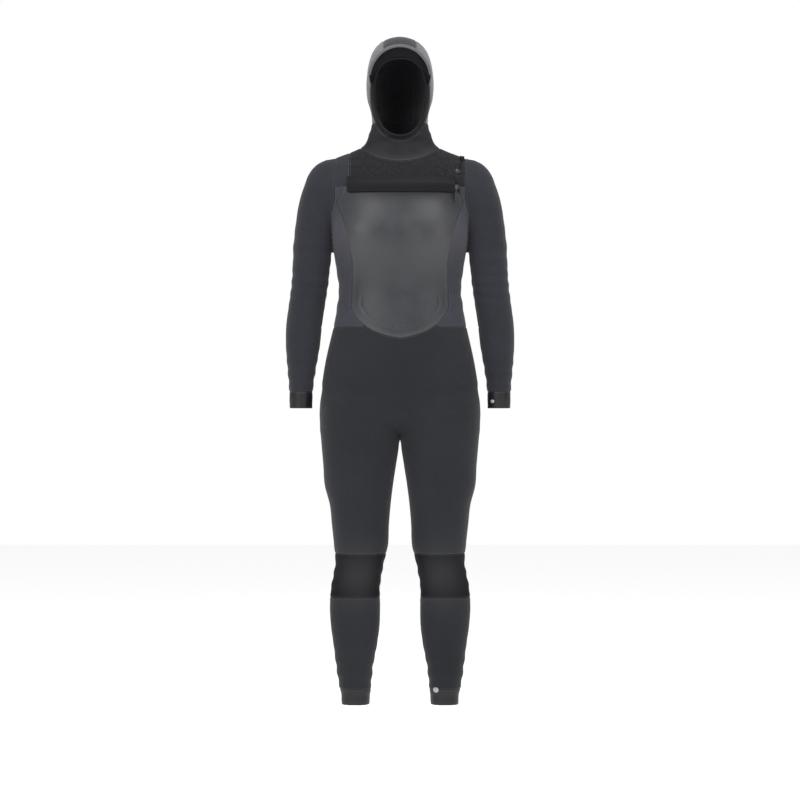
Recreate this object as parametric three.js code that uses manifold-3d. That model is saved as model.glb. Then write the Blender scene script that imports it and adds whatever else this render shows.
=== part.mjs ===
// A hooded full wetsuit in its worn shape, empty: neoprene panels round a hollow body, a chest zip under a
// cover flap, and seals at the face, wrists and ankles. Millimetres, +Z up, the front faces -Y and +X is the
// wearer's left. Heights are above the wearer's heels; the suit is then lowered: its origin is the neck base.
import * as THREE from "three";
import { mergeVertices } from "three/addons/utils/BufferGeometryUtils.js";
import Module from "manifold-3d";

const wasm = await Module();
wasm.setup();

// Driving dimensions
const NECK_BASE = 1415;
const NEOPRENE = 5; // panel thickness
const GAP = 0.3; // between panels that are sewn edge to edge
const TRUNK_SIDES = 24; // corners of a cross-section
const LIMB_SIDES = 16;
const ARC_STEP = 8; // degrees of the zip's arc to two facets
const FAR = 600; // beyond the suit to either side, in front and behind
const ABOVE = 1760; // higher than the hood
const BELOW = 0; // lower than the ankle hems

// Heights where one panel ends and the next begins
const TORSO_LOW = 950;
const THIGH_TOP = 770;
const GUSSET_TOP = 838;
const KNEE_HIGH = 505;
const KNEE_LOW = 372;
const ANKLE_SEAL_TOP = 172;
const ANKLE_HEM = 136;
const ELBOW_HIGH = 1171;
const ELBOW_LOW = 1057;
const WRIST_SEAL_TOP = 868;
const WRIST_HEM = 830;
const BACK_SEAM = 1200;
const BIB_LOW = 1345;
const CROWN_LOW = 1480; // where the crown strip would run out behind, below the hood's own edge
const SIDE_PANEL_LOW = 1020;

// Widths and depths of panel edges
const ARMHOLE_X = 152;
const BIB_RIGHT_X = -118;
const CROWN_STRIP = 38; // half its width
const SHOULDER_SEAM_Y = 12;
const SIDE_PANEL_X = 60; // its inner edge where the chest panel's rounded end is narrower
const SIDE_PANEL_BACK_Y = 45;
const GUSSET_HALF = 34;
const LEG_SEAM_Y = 8;
const FACE_SEAL_WIDTH = 8;

// Chest zip: a true arc round a vertical axis, so that its slider can follow it
const ZIP = { radius: 394, axisY: 296, height: 1343, from: -17.5, to: 20.5, tape: 11, tooth: 6 };
const STOP = { wide: 0.4, inset: 0.5 }; // degrees of the arc; the chain begins past each stop
const FLAP = { low: 1331, high: 1360.5, lift: 8, thick: 2.2, from: -17.8, to: 18.4 };
const STORM = { low: 1322, high: 1372, left: 132, inset: 1, thick: 2 };
const SLIDER = { long: 13, tall: 9, angle: 19, lugDrop: 5.5, out: 7.4 };
const LUG = { half: 2.5, reach: 1.5 };
const PULL = { wide: 7, long: 26, thick: 1.4, drop: 2.2, lift: 5.6, neck: 6 }; // neck: the tapered top's length
const SNAP = { x: 134, height: 1381, radius: 6.5, thick: 3 };
const ANKLE_MARK = { x: 84, height: 172, radius: 7, thick: 0.8 };
const WRIST_MARK = { x: 216, height: 846, radius: 4, thick: 0.8 };
const BRIM = { radius: 72, thick: 4.5, centre: 1590, reach: 122, back: 58 };

// Cross-sections, from the bottom up: height, half width, depth in front, depth behind
const TORSO = [
  [795, 150, 62, 84],
  [815, 180, 82, 106],
  [837, 187, 91, 117],
  [931, 176, 99, 126],
  [978, 166, 100, 112],
  [1025, 155, 98, 98],
  [1107, 143, 93, 88],
  [1175, 152, 110, 96],
  [1245, 164, 121, 107],
  [1320, 174, 100, 112],
  [1362, 171, 96, 104],
  [1390, 158, 78, 95],
  [1408, 154, 66, 84],
  [1422, 134, 58, 76],
  [1440, 88, 58, 72],
  [1455, 72, 58, 66],
];
const HOOD = [
  [1400, 56, 52, 62],
  [1430, 72, 61, 68],
  [1450, 73, 72, 68],
  [1466, 72, 88, 70],
  [1500, 66, 97, 76],
  [1552, 76, 100, 101],
  [1590, 79, 100, 105],
  [1630, 75, 97, 100],
  [1655, 68, 87, 91],
  [1682, 51, 60, 66],
  [1700, 10, 12, 16],
];
// Limbs, from the top down: height, inner edge, outer edge, depth in front, depth behind
const ARM = [
  [1405, 128, 188, 24, 38],
  [1392, 122, 204, 34, 48],
  [1376, 124, 216, 42, 55],
  [1330, 134, 232, 52, 62],
  [1259, 150, 245, 54, 58],
  [1165, 164, 252, 48, 47],
  [1072, 176, 261, 49, 37],
  [978, 188, 268, 47, 26],
  [884, 203, 261, 41, 13],
  [WRIST_HEM, 206, 259, 40, 9],
];
const LEG = [
  [850, 20, 186, 84, 112],
  [790, 1.5, 188, 88, 114],
  [743, 2, 182, 84, 98],
  [650, 16, 177, 77, 80],
  [556, 26, 160, 68, 66],
  [462, 39, 152, 60, 57],
  [415, 47, 161, 53, 61],
  [321, 47, 163, 44, 71],
  [227, 63, 150, 40, 51],
  [180, 68, 143, 38, 45],
  [ANKLE_HEM, 72, 137, 37, 43],
];

const degrees = (angle) => THREE.MathUtils.degToRad(angle);
const neoprene = (color, roughness) => new THREE.MeshStandardMaterial({ color, roughness, metalness: 0 });
const materials = {
  hood: neoprene("#5c5d61", 0.85),
  neck: neoprene("#454449", 0.6),
  bib: neoprene("#2f2f35", 0.9),
  smooth: neoprene("#2b2c31", 0.5),
  chest: neoprene("#505156", 0.45),
  side: neoprene("#434350", 0.8),
  sleeve: neoprene("#3a3b42", 0.85),
  body: neoprene("#323338", 0.85),
  knee: neoprene("#2b2c31", 0.7),
  cuff: neoprene("#26262a", 0.6),
  tape: neoprene("#1d1d20", 0.9),
  zip: new THREE.MeshStandardMaterial({ color: "#2a2a2c", roughness: 0.4, metalness: 0.1 }),
  slider: new THREE.MeshStandardMaterial({ color: "#8c8e92", roughness: 0.35, metalness: 0.9 }),
  mark: neoprene("#b9bbbd", 0.5),
};

// A closed geometry as a solid for cutting and joining
function solid(geometry) {
  const bare = geometry.index ? geometry.clone() : geometry;
  bare.deleteAttribute("normal");
  bare.deleteAttribute("uv");
  const merged = mergeVertices(bare, 1e-4);
  const mesh = new wasm.Mesh({
    numProp: 3,
    vertProperties: new Float32Array(merged.attributes.position.array),
    triVerts: new Uint32Array(merged.index.array),
  });
  return new wasm.Manifold(mesh);
}

// One cross-section: a rounded outline, slightly squarer than an ellipse, drawn in by the inset
function ring({ height, x, half, front, back }, sides, inset) {
  const points = [];
  for (let i = 0; i < sides; i += 1) {
    const turn = (2 * Math.PI * i) / sides;
    const across = Math.sign(Math.cos(turn)) * Math.abs(Math.cos(turn)) ** 0.9;
    const along = Math.sign(Math.sin(turn)) * Math.abs(Math.sin(turn)) ** 0.9;
    const depth = along < 0 ? front : back;
    points.push(x + across * (half - inset), along * (depth - inset), height);
  }
  return points;
}

// A closed body through cross-sections that are given from the bottom up
function loft(sections, sides, inset) {
  const positions = sections.flatMap((section) => ring(section, sides, inset));
  const low = sections[0];
  const high = sections[sections.length - 1];
  positions.push(low.x, 0, low.height, high.x, 0, high.height);
  const bottom = sections.length * sides;
  const index = [];
  for (let i = 0; i < sides; i += 1) {
    const next = (i + 1) % sides;
    for (let row = 0; row < sections.length - 1; row += 1) {
      const here = row * sides;
      const above = here + sides;
      index.push(here + i, here + next, above + next, here + i, above + next, above + i);
    }
    const last = (sections.length - 1) * sides;
    index.push(bottom, next, i, bottom + 1, last + i, last + next);
  }
  const geometry = new THREE.BufferGeometry();
  geometry.setAttribute("position", new THREE.Float32BufferAttribute(positions, 3));
  geometry.setIndex(index);
  return solid(geometry);
}

const trunkSections = (table) =>
  table.map(([height, half, front, back]) => ({ height, x: 0, half, front, back }));

const limbSections = (table, side) =>
  table
    .map(([height, inner, outer, front, back]) => ({
      height,
      x: (side * (inner + outer)) / 2,
      half: (outer - inner) / 2,
      front,
      back,
    }))
    .reverse();

// The end section moved along Z, which sets a wall across a closed end or opens an end
const shifted = (section, by) => ({ ...section, height: section.height + by });

// The whole worn body, drawn in by the inset; an inner body runs out through the wrist and ankle hems
function body(inset) {
  const torso = trunkSections(TORSO);
  const hood = trunkSections(HOOD);
  torso[0] = shifted(torso[0], inset);
  hood[hood.length - 1] = shifted(hood[hood.length - 1], -inset);
  let whole = loft(torso, TRUNK_SIDES, inset).add(loft(hood, TRUNK_SIDES, inset));
  for (const side of [-1, 1]) {
    for (const table of [ARM, LEG]) {
      const limb = limbSections(table, side);
      if (inset > 0) limb.unshift(shifted(limb[0], -inset));
      limb[limb.length - 1] = shifted(limb[limb.length - 1], -inset);
      whole = whole.add(loft(limb, LIMB_SIDES, inset));
    }
  }
  return whole;
}

function box(low, high) {
  const size = high.map((value, i) => value - low[i]);
  const geometry = new THREE.BoxGeometry(...size);
  geometry.translate(...low.map((value, i) => value + size[i] / 2));
  return solid(geometry);
}

const slab = (low, high) => box([-FAR, -FAR, low + GAP / 2], [FAR, FAR, high - GAP / 2]);

// An outline moved outwards by a distance
function grown(outline, distance) {
  const points = THREE.ShapeUtils.isClockWise(outline) ? [...outline].reverse() : outline;
  return points.map((point, i) => {
    const before = points[(i + points.length - 1) % points.length];
    const after = points[(i + 1) % points.length];
    const inward = point.clone().sub(before).normalize();
    const outward = after.clone().sub(point).normalize();
    const normal = new THREE.Vector2(inward.y + outward.y, -inward.x - outward.x).normalize();
    return point.clone().addScaledVector(normal, distance);
  });
}

const extruded = (shape, depth) => new THREE.ExtrudeGeometry(shape, { depth, bevelEnabled: false });

// A front-view outline in X and Z, run through from one depth to another
function prism(outline, from, to, grow = 0) {
  const points = grow ? grown(outline, grow) : outline;
  const geometry = extruded(new THREE.Shape(points), to - from);
  geometry.rotateX(Math.PI / 2);
  geometry.translate(0, to, 0);
  return solid(geometry);
}

const outlineOf = (pairs) => pairs.map(([x, z]) => new THREE.Vector2(x, z));

// The seam outlines
const mirrored = (outline, side) => outline.map((point) => new THREE.Vector2(point.x * side, point.y));

const armOutline = outlineOf([
  [ARMHOLE_X, 1430],
  [ARMHOLE_X, 1215],
  [157, 1190],
  [158, 1165],
  [172, 1072],
  [182, 990],
  [191, 931],
  [198, 837],
  [198, 800],
  [300, 800],
  [300, 1430],
]);

// The sleeve begins below a slanted line from the armpit to the outside of the shoulder
const sleeveOutline = outlineOf([
  [140, 700],
  [140, 1173],
  [157, 1192],
  [246, 1290],
  [320, 1370],
  [320, 700],
]);

function chestOutline() {
  const shape = new THREE.Shape();
  shape.moveTo(-130, BIB_LOW);
  shape.lineTo(-149, 1308);
  shape.quadraticCurveTo(-118, 1240, -111, 1160);
  shape.lineTo(-114, 1062);
  shape.quadraticCurveTo(-88, 1004, 0, 992);
  shape.quadraticCurveTo(88, 1004, 114, 1062);
  shape.lineTo(111, 1160);
  shape.quadraticCurveTo(118, 1240, 149, 1308);
  shape.lineTo(130, BIB_LOW);
  return shape.getPoints(4);
}

function neckOutline(base) {
  const shape = new THREE.Shape();
  shape.moveTo(-112, 1520);
  shape.lineTo(-112, 1452);
  shape.quadraticCurveTo(-60, base, 0, base);
  shape.quadraticCurveTo(60, base, 112, 1452);
  shape.lineTo(112, 1520);
  return shape.getPoints(4);
}

function faceOutline() {
  const shape = new THREE.Shape();
  shape.moveTo(0, 1461);
  shape.bezierCurveTo(44, 1461, 62, 1510, 62, 1560);
  shape.bezierCurveTo(62, 1612, 46, 1640, 0, 1640);
  shape.bezierCurveTo(-46, 1640, -62, 1612, -62, 1560);
  shape.bezierCurveTo(-62, 1510, -44, 1461, 0, 1461);
  return shape.getPoints(5).slice(0, -1);
}

// The hood ends on a line that is a little lower beside the chin than at the nape
function hoodCutter() {
  const outline = [
    [-FAR, 1494],
    [-50, 1494],
    [30, 1500],
    [FAR, 1506],
    [FAR, ABOVE],
    [-FAR, ABOVE],
  ].map(([y, z]) => new THREE.Vector2(y, z));
  const side = (grow) => {
    const points = grow ? grown(outline, grow) : outline;
    const geometry = extruded(new THREE.Shape(points), 2 * FAR);
    geometry.rotateX(Math.PI / 2);
    geometry.rotateZ(Math.PI / 2);
    geometry.translate(-FAR, 0, 0);
    return solid(geometry);
  };
  return { keep: side(0), grown: side(GAP) };
}

const suit = new THREE.Group();

function place(name, material, shape) {
  const cut = shape.getMesh();
  const geometry = new THREE.BufferGeometry();
  geometry.setAttribute("position", new THREE.Float32BufferAttribute(cut.vertProperties, 3));
  geometry.setIndex(Array.from(cut.triVerts));
  const mesh = new THREE.Mesh(geometry, material);
  mesh.name = name;
  suit.add(mesh);
  return mesh;
}

// Cuts an outline out of a shell and returns the piece and what is left, with a seam gap between them
function carve(shell, outline, from, to) {
  return {
    piece: shell.intersect(prism(outline, from, to)),
    rest: shell.subtract(prism(outline, from - GAP, to + GAP, GAP)),
  };
}

const outer = body(0);
const face = faceOutline();
const hollow = outer.subtract(body(NEOPRENE)).subtract(prism(face, -FAR, -20));
const clear = body(-GAP); // what a piece lying on the suit has to stay out of
const SIDE_NAMES = new Map([
  [-1, "right"],
  [1, "left"],
]);

// Hood
const hoodCut = hoodCutter();
const faceBand = carve(hollow, grown(face, FACE_SEAL_WIDTH), -FAR, -30);
const hood = faceBand.rest.intersect(hoodCut.keep);
const belowHood = faceBand.rest.subtract(hoodCut.grown);
place("face_seal", materials.smooth, faceBand.piece);
const crown = box([-CROWN_STRIP, -FAR, CROWN_LOW], [CROWN_STRIP, FAR, ABOVE]);
place("hood_crown_strip", materials.hood, hood.intersect(crown));
for (const [side, label] of SIDE_NAMES) {
  const edge = CROWN_STRIP + GAP;
  const [near, far] = side > 0 ? [edge, FAR] : [-FAR, -edge];
  const half = box([near, -FAR, BELOW], [far, FAR, ABOVE]);
  place(`hood_side_${label}`, materials.hood, hood.intersect(half));
}

// Brim: an arched visor with a rounded front edge
function brim() {
  const arch = new THREE.Shape();
  arch.absarc(0, BRIM.centre, BRIM.radius + BRIM.thick, degrees(12), degrees(168), false);
  arch.absarc(0, BRIM.centre, BRIM.radius, degrees(168), degrees(12), true);
  const sheet = prism(arch.getPoints(8), -BRIM.reach, -BRIM.back);
  const plan = new THREE.Shape();
  plan.moveTo(-FAR, -BRIM.back);
  plan.lineTo(-84, -BRIM.back);
  plan.bezierCurveTo(-74, -BRIM.reach, -40, -BRIM.reach, 0, -BRIM.reach);
  plan.bezierCurveTo(40, -BRIM.reach, 74, -BRIM.reach, 84, -BRIM.back);
  plan.lineTo(84, -BRIM.back + 1);
  plan.lineTo(-84, -BRIM.back + 1);
  const trim = new THREE.Shape(plan.getPoints(5).slice(1));
  return sheet.intersect(solid(extruded(trim, ABOVE))).subtract(clear);
}
place("hood_brim", materials.smooth, brim());

// Neck
const neckFront = carve(belowHood, neckOutline(1405), -FAR, SHOULDER_SEAM_Y);
const neckBack = carve(neckFront.rest, neckOutline(1424), SHOULDER_SEAM_Y + GAP, FAR);
place("neck_front", materials.neck, neckFront.piece);
place("neck_back", materials.neck, neckBack.piece);
let trunk = neckBack.rest;

// Sleeves
for (const [side, label] of SIDE_NAMES) {
  const arm = carve(trunk, mirrored(armOutline, side), -FAR, FAR);
  trunk = arm.rest;
  const sleeve = carve(arm.piece, mirrored(sleeveOutline, side), -FAR, FAR);
  place(`shoulder_cap_${label}`, materials.sleeve, sleeve.rest);
  place(`upper_sleeve_${label}`, materials.sleeve, sleeve.piece.intersect(slab(ELBOW_HIGH, 1500)));
  place(`elbow_${label}`, materials.sleeve, sleeve.piece.intersect(slab(ELBOW_LOW, ELBOW_HIGH)));
  place(`forearm_${label}`, materials.body, sleeve.piece.intersect(slab(WRIST_SEAL_TOP, ELBOW_LOW)));
  place(`wrist_seal_${label}`, materials.cuff, sleeve.piece.intersect(slab(WRIST_HEM - 1, WRIST_SEAL_TOP)));
}

// Legs, hips and the gusset between them
const lower = trunk.intersect(slab(BELOW, TORSO_LOW));
const hips = lower.intersect(slab(THIGH_TOP, TORSO_LOW));
const gussetBox = (grow) =>
  box([-GUSSET_HALF - grow, -FAR, BELOW], [GUSSET_HALF + grow, FAR, GUSSET_TOP + grow]);
place("crotch_gusset", materials.body, hips.intersect(gussetBox(0)));
const hipRing = hips.subtract(gussetBox(GAP));
for (const [side, label] of SIDE_NAMES) {
  const near = side > 0 ? GAP / 2 : -FAR;
  const far = side > 0 ? FAR : -GAP / 2;
  const front = box([near, -FAR, BELOW], [far, LEG_SEAM_Y, TORSO_LOW]);
  const back = box([near, LEG_SEAM_Y + GAP, BELOW], [far, FAR, TORSO_LOW]);
  const half = box([near, -FAR, BELOW], [far, FAR, TORSO_LOW]);
  place(`hip_front_${label}`, materials.body, hipRing.intersect(front));
  place(`hip_back_${label}`, materials.body, hipRing.intersect(back));
  const leg = lower.intersect(half);
  place(`thigh_${label}`, materials.body, leg.intersect(slab(KNEE_HIGH, THIGH_TOP)));
  const knee = leg.intersect(slab(KNEE_LOW, KNEE_HIGH));
  place(`knee_pad_${label}`, materials.knee, knee.intersect(front));
  place(`knee_back_${label}`, materials.body, knee.intersect(back));
  place(`shin_${label}`, materials.body, leg.intersect(slab(ANKLE_SEAL_TOP, KNEE_LOW)));
  place(`ankle_seal_${label}`, materials.cuff, leg.intersect(slab(ANKLE_HEM - 1, ANKLE_SEAL_TOP)));
}

// Torso panels
const chest = carve(trunk.intersect(slab(TORSO_LOW, ABOVE)), chestOutline(), -FAR, 0);
place("chest_panel", materials.chest, chest.piece);
let rest = chest.rest;
for (const [side, label] of SIDE_NAMES) {
  const edges = outlineOf([
    [SIDE_PANEL_X, SIDE_PANEL_LOW],
    [FAR, SIDE_PANEL_LOW],
    [FAR, BIB_LOW],
    [SIDE_PANEL_X, BIB_LOW],
  ]);
  const panel = carve(rest, mirrored(edges, side), -FAR, SIDE_PANEL_BACK_Y);
  place(`side_panel_${label}`, materials.side, panel.piece);
  rest = panel.rest;
}
const frontHalf = box([-FAR, -FAR, BELOW], [FAR, SHOULDER_SEAM_Y, ABOVE]);
const backHalf = box([-FAR, SHOULDER_SEAM_Y + GAP, BELOW], [FAR, FAR, ABOVE]);
const leftOfYoke = box([BIB_RIGHT_X + GAP, -FAR, BELOW], [FAR, FAR, ABOVE]);
const rightOfBib = box([-FAR, -FAR, BELOW], [BIB_RIGHT_X, FAR, ABOVE]);
place("waist_front", materials.body, rest.intersect(slab(TORSO_LOW, BIB_LOW)).intersect(frontHalf));
place("back_lower", materials.body, rest.intersect(slab(TORSO_LOW, BACK_SEAM)).intersect(backHalf));
place("back_upper", materials.body, rest.intersect(slab(BACK_SEAM, ABOVE)).intersect(backHalf));
const yoke = rest.intersect(slab(BIB_LOW, ABOVE)).intersect(frontHalf);
place("chest_bib", materials.bib, yoke.intersect(leftOfYoke));
place("shoulder_yoke_right", materials.sleeve, yoke.intersect(rightOfBib));

// A strip that follows the zip's arc; lifts are measured outwards from the chest
function arcStrip(from, to, inLift, outLift, low, high) {
  const shape = new THREE.Shape();
  const turns = [from - 90, to - 90].map(degrees);
  shape.absarc(0, ZIP.axisY, ZIP.radius + outLift, turns[0], turns[1], false);
  shape.absarc(0, ZIP.axisY, ZIP.radius + inLift, turns[1], turns[0], true);
  const steps = Math.max(1, Math.round((to - from) / ARC_STEP));
  const geometry = extruded(new THREE.Shape(shape.getPoints(steps)), high - low);
  geometry.translate(0, 0, low);
  return solid(geometry);
}

const toothTop = ZIP.height + ZIP.tooth / 2;
const toothLow = ZIP.height - ZIP.tooth / 2;
const [TAPE_IN, TAPE_OUT, CHAIN_OUT, STOP_OUT] = [2, 3, 4, 5.2]; // lifts off the chest
const upperTape = arcStrip(ZIP.from, ZIP.to, TAPE_IN, TAPE_OUT, toothTop + GAP, toothTop + ZIP.tape);
const lowerTape = arcStrip(ZIP.from, ZIP.to, TAPE_IN, TAPE_OUT, toothLow - ZIP.tape, toothLow - GAP);
const toothRow = (from, to, outLift) => arcStrip(from, to, TAPE_IN, outLift, toothLow, toothTop);
place("zip_tape_upper", materials.tape, upperTape);
place("zip_tape_lower", materials.tape, lowerTape);
place("zip_chain", materials.zip, toothRow(ZIP.from + STOP.inset, ZIP.to - STOP.inset, CHAIN_OUT));
place("zip_stop_open", materials.zip, toothRow(ZIP.from, ZIP.from + STOP.wide, STOP_OUT));
place("zip_stop_closed", materials.zip, toothRow(ZIP.to - STOP.wide, ZIP.to, STOP_OUT));

const flapOut = FLAP.lift + FLAP.thick;
const flapFace = arcStrip(FLAP.from, FLAP.to, FLAP.lift, flapOut, FLAP.low, FLAP.high);
const flapRoot = arcStrip(FLAP.from, FLAP.to, TAPE_IN, flapOut, FLAP.high - FLAP.thick, FLAP.high);
place("zip_cover_flap", materials.smooth, flapFace.add(flapRoot));

// The storm flap lies inside, against the back of the zip
const stormOutline = outlineOf([
  [BIB_RIGHT_X, STORM.low],
  [STORM.left, STORM.low],
  [STORM.left, STORM.high],
  [BIB_RIGHT_X, STORM.high],
]);
const lining = body(NEOPRENE + STORM.inset).subtract(body(NEOPRENE + STORM.inset + STORM.thick));
place("storm_flap", materials.tape, lining.intersect(prism(stormOutline, -FAR, 0)));

// The slider stands on the chain, and its pull hangs from a lug below it
const onArc = (mesh, angle) => {
  mesh.rotation.z = degrees(angle);
  mesh.position.set(0, ZIP.axisY, 0);
  return mesh;
};
const track = -ZIP.radius;
const sliderBody = box(
  [-SLIDER.long / 2, track - SLIDER.out, ZIP.height - SLIDER.tall / 2],
  [SLIDER.long / 2, track - CHAIN_OUT - GAP, ZIP.height + SLIDER.tall / 2],
);
const pullAxis = ZIP.height - SLIDER.lugDrop;
const lug = box(
  [-LUG.half, track - SLIDER.out, pullAxis - LUG.reach],
  [LUG.half, track - PULL.lift, pullAxis + LUG.reach],
);
onArc(place("zip_slider", materials.slider, sliderBody.add(lug)), SLIDER.angle);
const pullTop = pullAxis - PULL.drop;
const pullOutline = new THREE.Shape();
pullOutline.moveTo(-LUG.half, pullTop);
pullOutline.lineTo(-PULL.wide / 2, pullTop - PULL.neck);
pullOutline.lineTo(-PULL.wide / 2, pullTop - PULL.long + PULL.wide / 2);
pullOutline.absarc(0, pullTop - PULL.long + PULL.wide / 2, PULL.wide / 2, Math.PI, 0, false);
pullOutline.lineTo(PULL.wide / 2, pullTop - PULL.neck);
pullOutline.lineTo(LUG.half, pullTop);
const pull = prism(pullOutline.getPoints(5), track - PULL.lift - PULL.thick, track - PULL.lift);
onArc(place("zip_pull", materials.tape, pull), SLIDER.angle);

// A skin patch lies on the suit inside a front-view outline
function patch({ x, height, radius, thick }) {
  const outline = new THREE.Shape().absarc(x, height, radius, 0, 2 * Math.PI, false).getPoints(8);
  const layer = body(-GAP - thick).subtract(clear);
  return layer.intersect(prism(outline.slice(0, -1), -FAR, 0));
}
place("flap_snap", materials.slider, patch(SNAP));
place("ankle_mark", materials.mark, patch(ANKLE_MARK));
place("wrist_mark", materials.mark, patch(WRIST_MARK));

suit.position.z = -NECK_BASE;
suit.updateMatrixWorld(true);

export default suit;
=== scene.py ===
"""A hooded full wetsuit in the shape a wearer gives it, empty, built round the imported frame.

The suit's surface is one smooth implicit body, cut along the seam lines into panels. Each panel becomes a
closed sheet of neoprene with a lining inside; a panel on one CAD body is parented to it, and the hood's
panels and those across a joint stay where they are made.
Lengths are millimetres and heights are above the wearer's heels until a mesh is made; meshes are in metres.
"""
import math

import bmesh
import bpy
import numpy as np
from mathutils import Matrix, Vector
from mathutils.geometry import delaunay_2d_cdt


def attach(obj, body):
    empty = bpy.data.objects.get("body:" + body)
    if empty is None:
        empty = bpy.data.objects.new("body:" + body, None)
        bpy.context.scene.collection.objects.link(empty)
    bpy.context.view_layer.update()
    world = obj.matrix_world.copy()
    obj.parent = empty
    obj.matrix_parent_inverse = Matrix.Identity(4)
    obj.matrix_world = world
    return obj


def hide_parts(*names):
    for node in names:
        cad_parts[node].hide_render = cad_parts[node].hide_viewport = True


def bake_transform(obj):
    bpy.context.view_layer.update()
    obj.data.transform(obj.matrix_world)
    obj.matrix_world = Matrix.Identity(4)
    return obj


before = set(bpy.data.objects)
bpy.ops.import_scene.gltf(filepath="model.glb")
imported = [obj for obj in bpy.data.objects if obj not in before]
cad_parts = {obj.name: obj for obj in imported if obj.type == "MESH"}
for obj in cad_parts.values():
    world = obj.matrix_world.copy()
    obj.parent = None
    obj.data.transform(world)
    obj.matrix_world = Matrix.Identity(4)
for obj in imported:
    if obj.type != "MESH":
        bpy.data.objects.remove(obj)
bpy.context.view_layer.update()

# ---------------------------------------------------------------- driving dimensions
NECK_BASE = 1415  # height of the row frame's origin above the wearer's heels
NEOPRENE = 4.6
WALL_GAP = 0.7  # from the plane between the arm and the chest to each one's own face
SIDES = {"left": 1, "right": -1}
CELL = 5.0  # of the grid that the surface is found on
SQUARENESS = 2.25  # exponent of the cross-sections: 2 is an ellipse
GROOVE = 1.3  # depth of a sewn seam
GROOVE_REACH = 4.0  # a seam's groove and stitches stay within this of its line
STITCH = 4.2  # from one stitch to the next
THREAD = (74, 75, 80)  # the screen levels of the thread's colour
WAVES = 0.628  # scale of a wave texture with one band in each unit, from top left to bottom right

# Height, half width, depth in front, depth behind
TORSO = [
    (770, 90, 20, 34), (785, 125, 46, 66), (802, 150, 66, 88), (822, 168, 80, 104), (845, 178, 88, 113),
    (884, 182, 95, 119), (931, 176, 99, 119), (978, 166, 100, 111), (1025, 155, 98, 98),
    (1072, 147, 94, 90), (1107, 143, 93, 88), (1142, 147, 97, 90), (1175, 152, 104, 96),
    (1210, 158, 110, 102), (1245, 163, 112, 107), (1290, 170, 106, 111), (1320, 173, 100, 111),
    (1362, 170, 94, 104), (1382, 165, 84, 98), (1398, 160, 75, 91), (1410, 151, 66, 84),
    (1420, 138, 60, 78), (1430, 115, 57, 74), (1440, 93, 56, 71), (1452, 79, 56, 68), (1468, 68, 54, 65),
]
HOOD = [
    (1395, 52, 48, 58), (1430, 70, 58, 66), (1450, 72, 66, 67), (1462, 72, 80, 69), (1475, 70, 90, 70),
    (1490, 67, 95, 73), (1505, 65.5, 97, 78), (1520, 67, 98, 86), (1535, 71, 99, 94), (1552, 76, 100, 101),
    (1572, 78.5, 100, 105), (1592, 79, 100, 105.5), (1612, 77.5, 99, 104), (1630, 75, 96, 100),
    (1648, 70.5, 90, 94), (1665, 63.5, 80, 84), (1680, 52, 64, 68), (1691, 37, 46, 50), (1698, 18, 24, 27),
    (1701, 5, 6, 8),
]
# Height, inner edge, outer edge, depth in front, depth behind; both run on past their hems
ARM = [
    (790, 206.5, 258.5, 40, 9), (830, 206, 259, 40, 9), (884, 203, 261, 41, 13), (931, 196, 265, 43, 19),
    (978, 188, 268, 47, 26), (1025, 183, 267, 50, 31), (1072, 176, 261, 49, 37), (1119, 169, 255, 47, 42),
    (1165, 164, 252, 48, 47), (1212, 158, 250, 51, 53), (1259, 150, 245, 54, 58), (1306, 142, 238, 54, 62),
    (1330, 136, 232, 52, 62), (1353, 130, 224, 48, 60), (1376, 126, 215, 42, 55), (1392, 124, 204, 35, 48),
    (1404, 124, 190, 26, 38), (1412, 128, 174, 14, 24),
]
LEG = [
    (100, 73, 136.5, 37, 43), (136, 72, 137, 37, 43), (157, 70, 138.5, 37, 43), (180, 68, 143, 38, 45),
    (227, 63, 150, 40, 51), (274, 54, 156, 42, 62), (321, 48, 162.5, 44, 71), (368, 47, 165, 47, 69),
    (415, 47, 161, 53, 61), (440, 43, 156, 58, 58), (462, 39, 152, 60, 57), (509, 28, 155, 63, 61),
    (556, 26, 160, 68, 66), (603, 22, 165, 73, 73), (650, 16, 177, 77, 80), (696, 9, 180, 80, 88),
    (743, 2.4, 184, 85, 99), (790, 1.8, 187, 87, 109), (850, 22, 181, 80, 104), (875, 50, 165, 56, 76),
]
BUST = {"x": 70, "y": -62, "height": 1234, "size": (64, 52, 62), "blend": 34}
SHOULDER_BLEND, UNDERARM_BLEND, LEG_BLEND, HOOD_BLEND = 22, 7, 26, 16

# Where the panels meet
TORSO_LOW, KNEE_HIGH, KNEE_LOW = 950, 490, 387
ANKLE_SEAL_TOP, ANKLE_HEM = 172, 136
KNEE_BEND_HIGH, KNEE_BEND_LOW = 505, 372
ELBOW_HIGH, ELBOW_LOW, WRIST_SEAL_TOP, WRIST_HEM = 1176, 1052, 868, 830
ARMPIT = 1288  # below it the upper arm lies against the chest's side
BACK_SEAM, BIB_LOW, SIDE_PANEL_LOW = 1200, 1345, 1020
ARMHOLE_X, BIB_RIGHT_X, CROWN_STRIP = 152, -118, 38
SHOULDER_SEAM_Y, SIDE_PANEL_BACK_Y, LEG_SEAM_Y = 12, 45, 8
FACE_BAND = 9
# The heights where the crease between arm and chest fades in and out
CREASE = (1165, 1195, ARMPIT - 8, ARMPIT + 27)
ARM_LINE = [
    (800, 198), (837, 198), (931, 191), (990, 182), (1072, 172), (1165, 158), (1190, 157), (1215, 152),
]
HOOD_LINE = [(-50, 1494), (30, 1500), (70, 1501)]  # depth, height
FACE_LOW = 1440  # nothing of the face opening or its binding is below this
FACE_BACK_Y = -12  # or behind this
CROWN_FRONT_Y, CROWN_HIGH = -40, 1645  # the crown strip is behind the one or above the other

# The band across the groin where its crease folds in: where the band begins, its direction and its length
GROIN_BAND = ((0, 800), (0.655, -0.756), 110)


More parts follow.
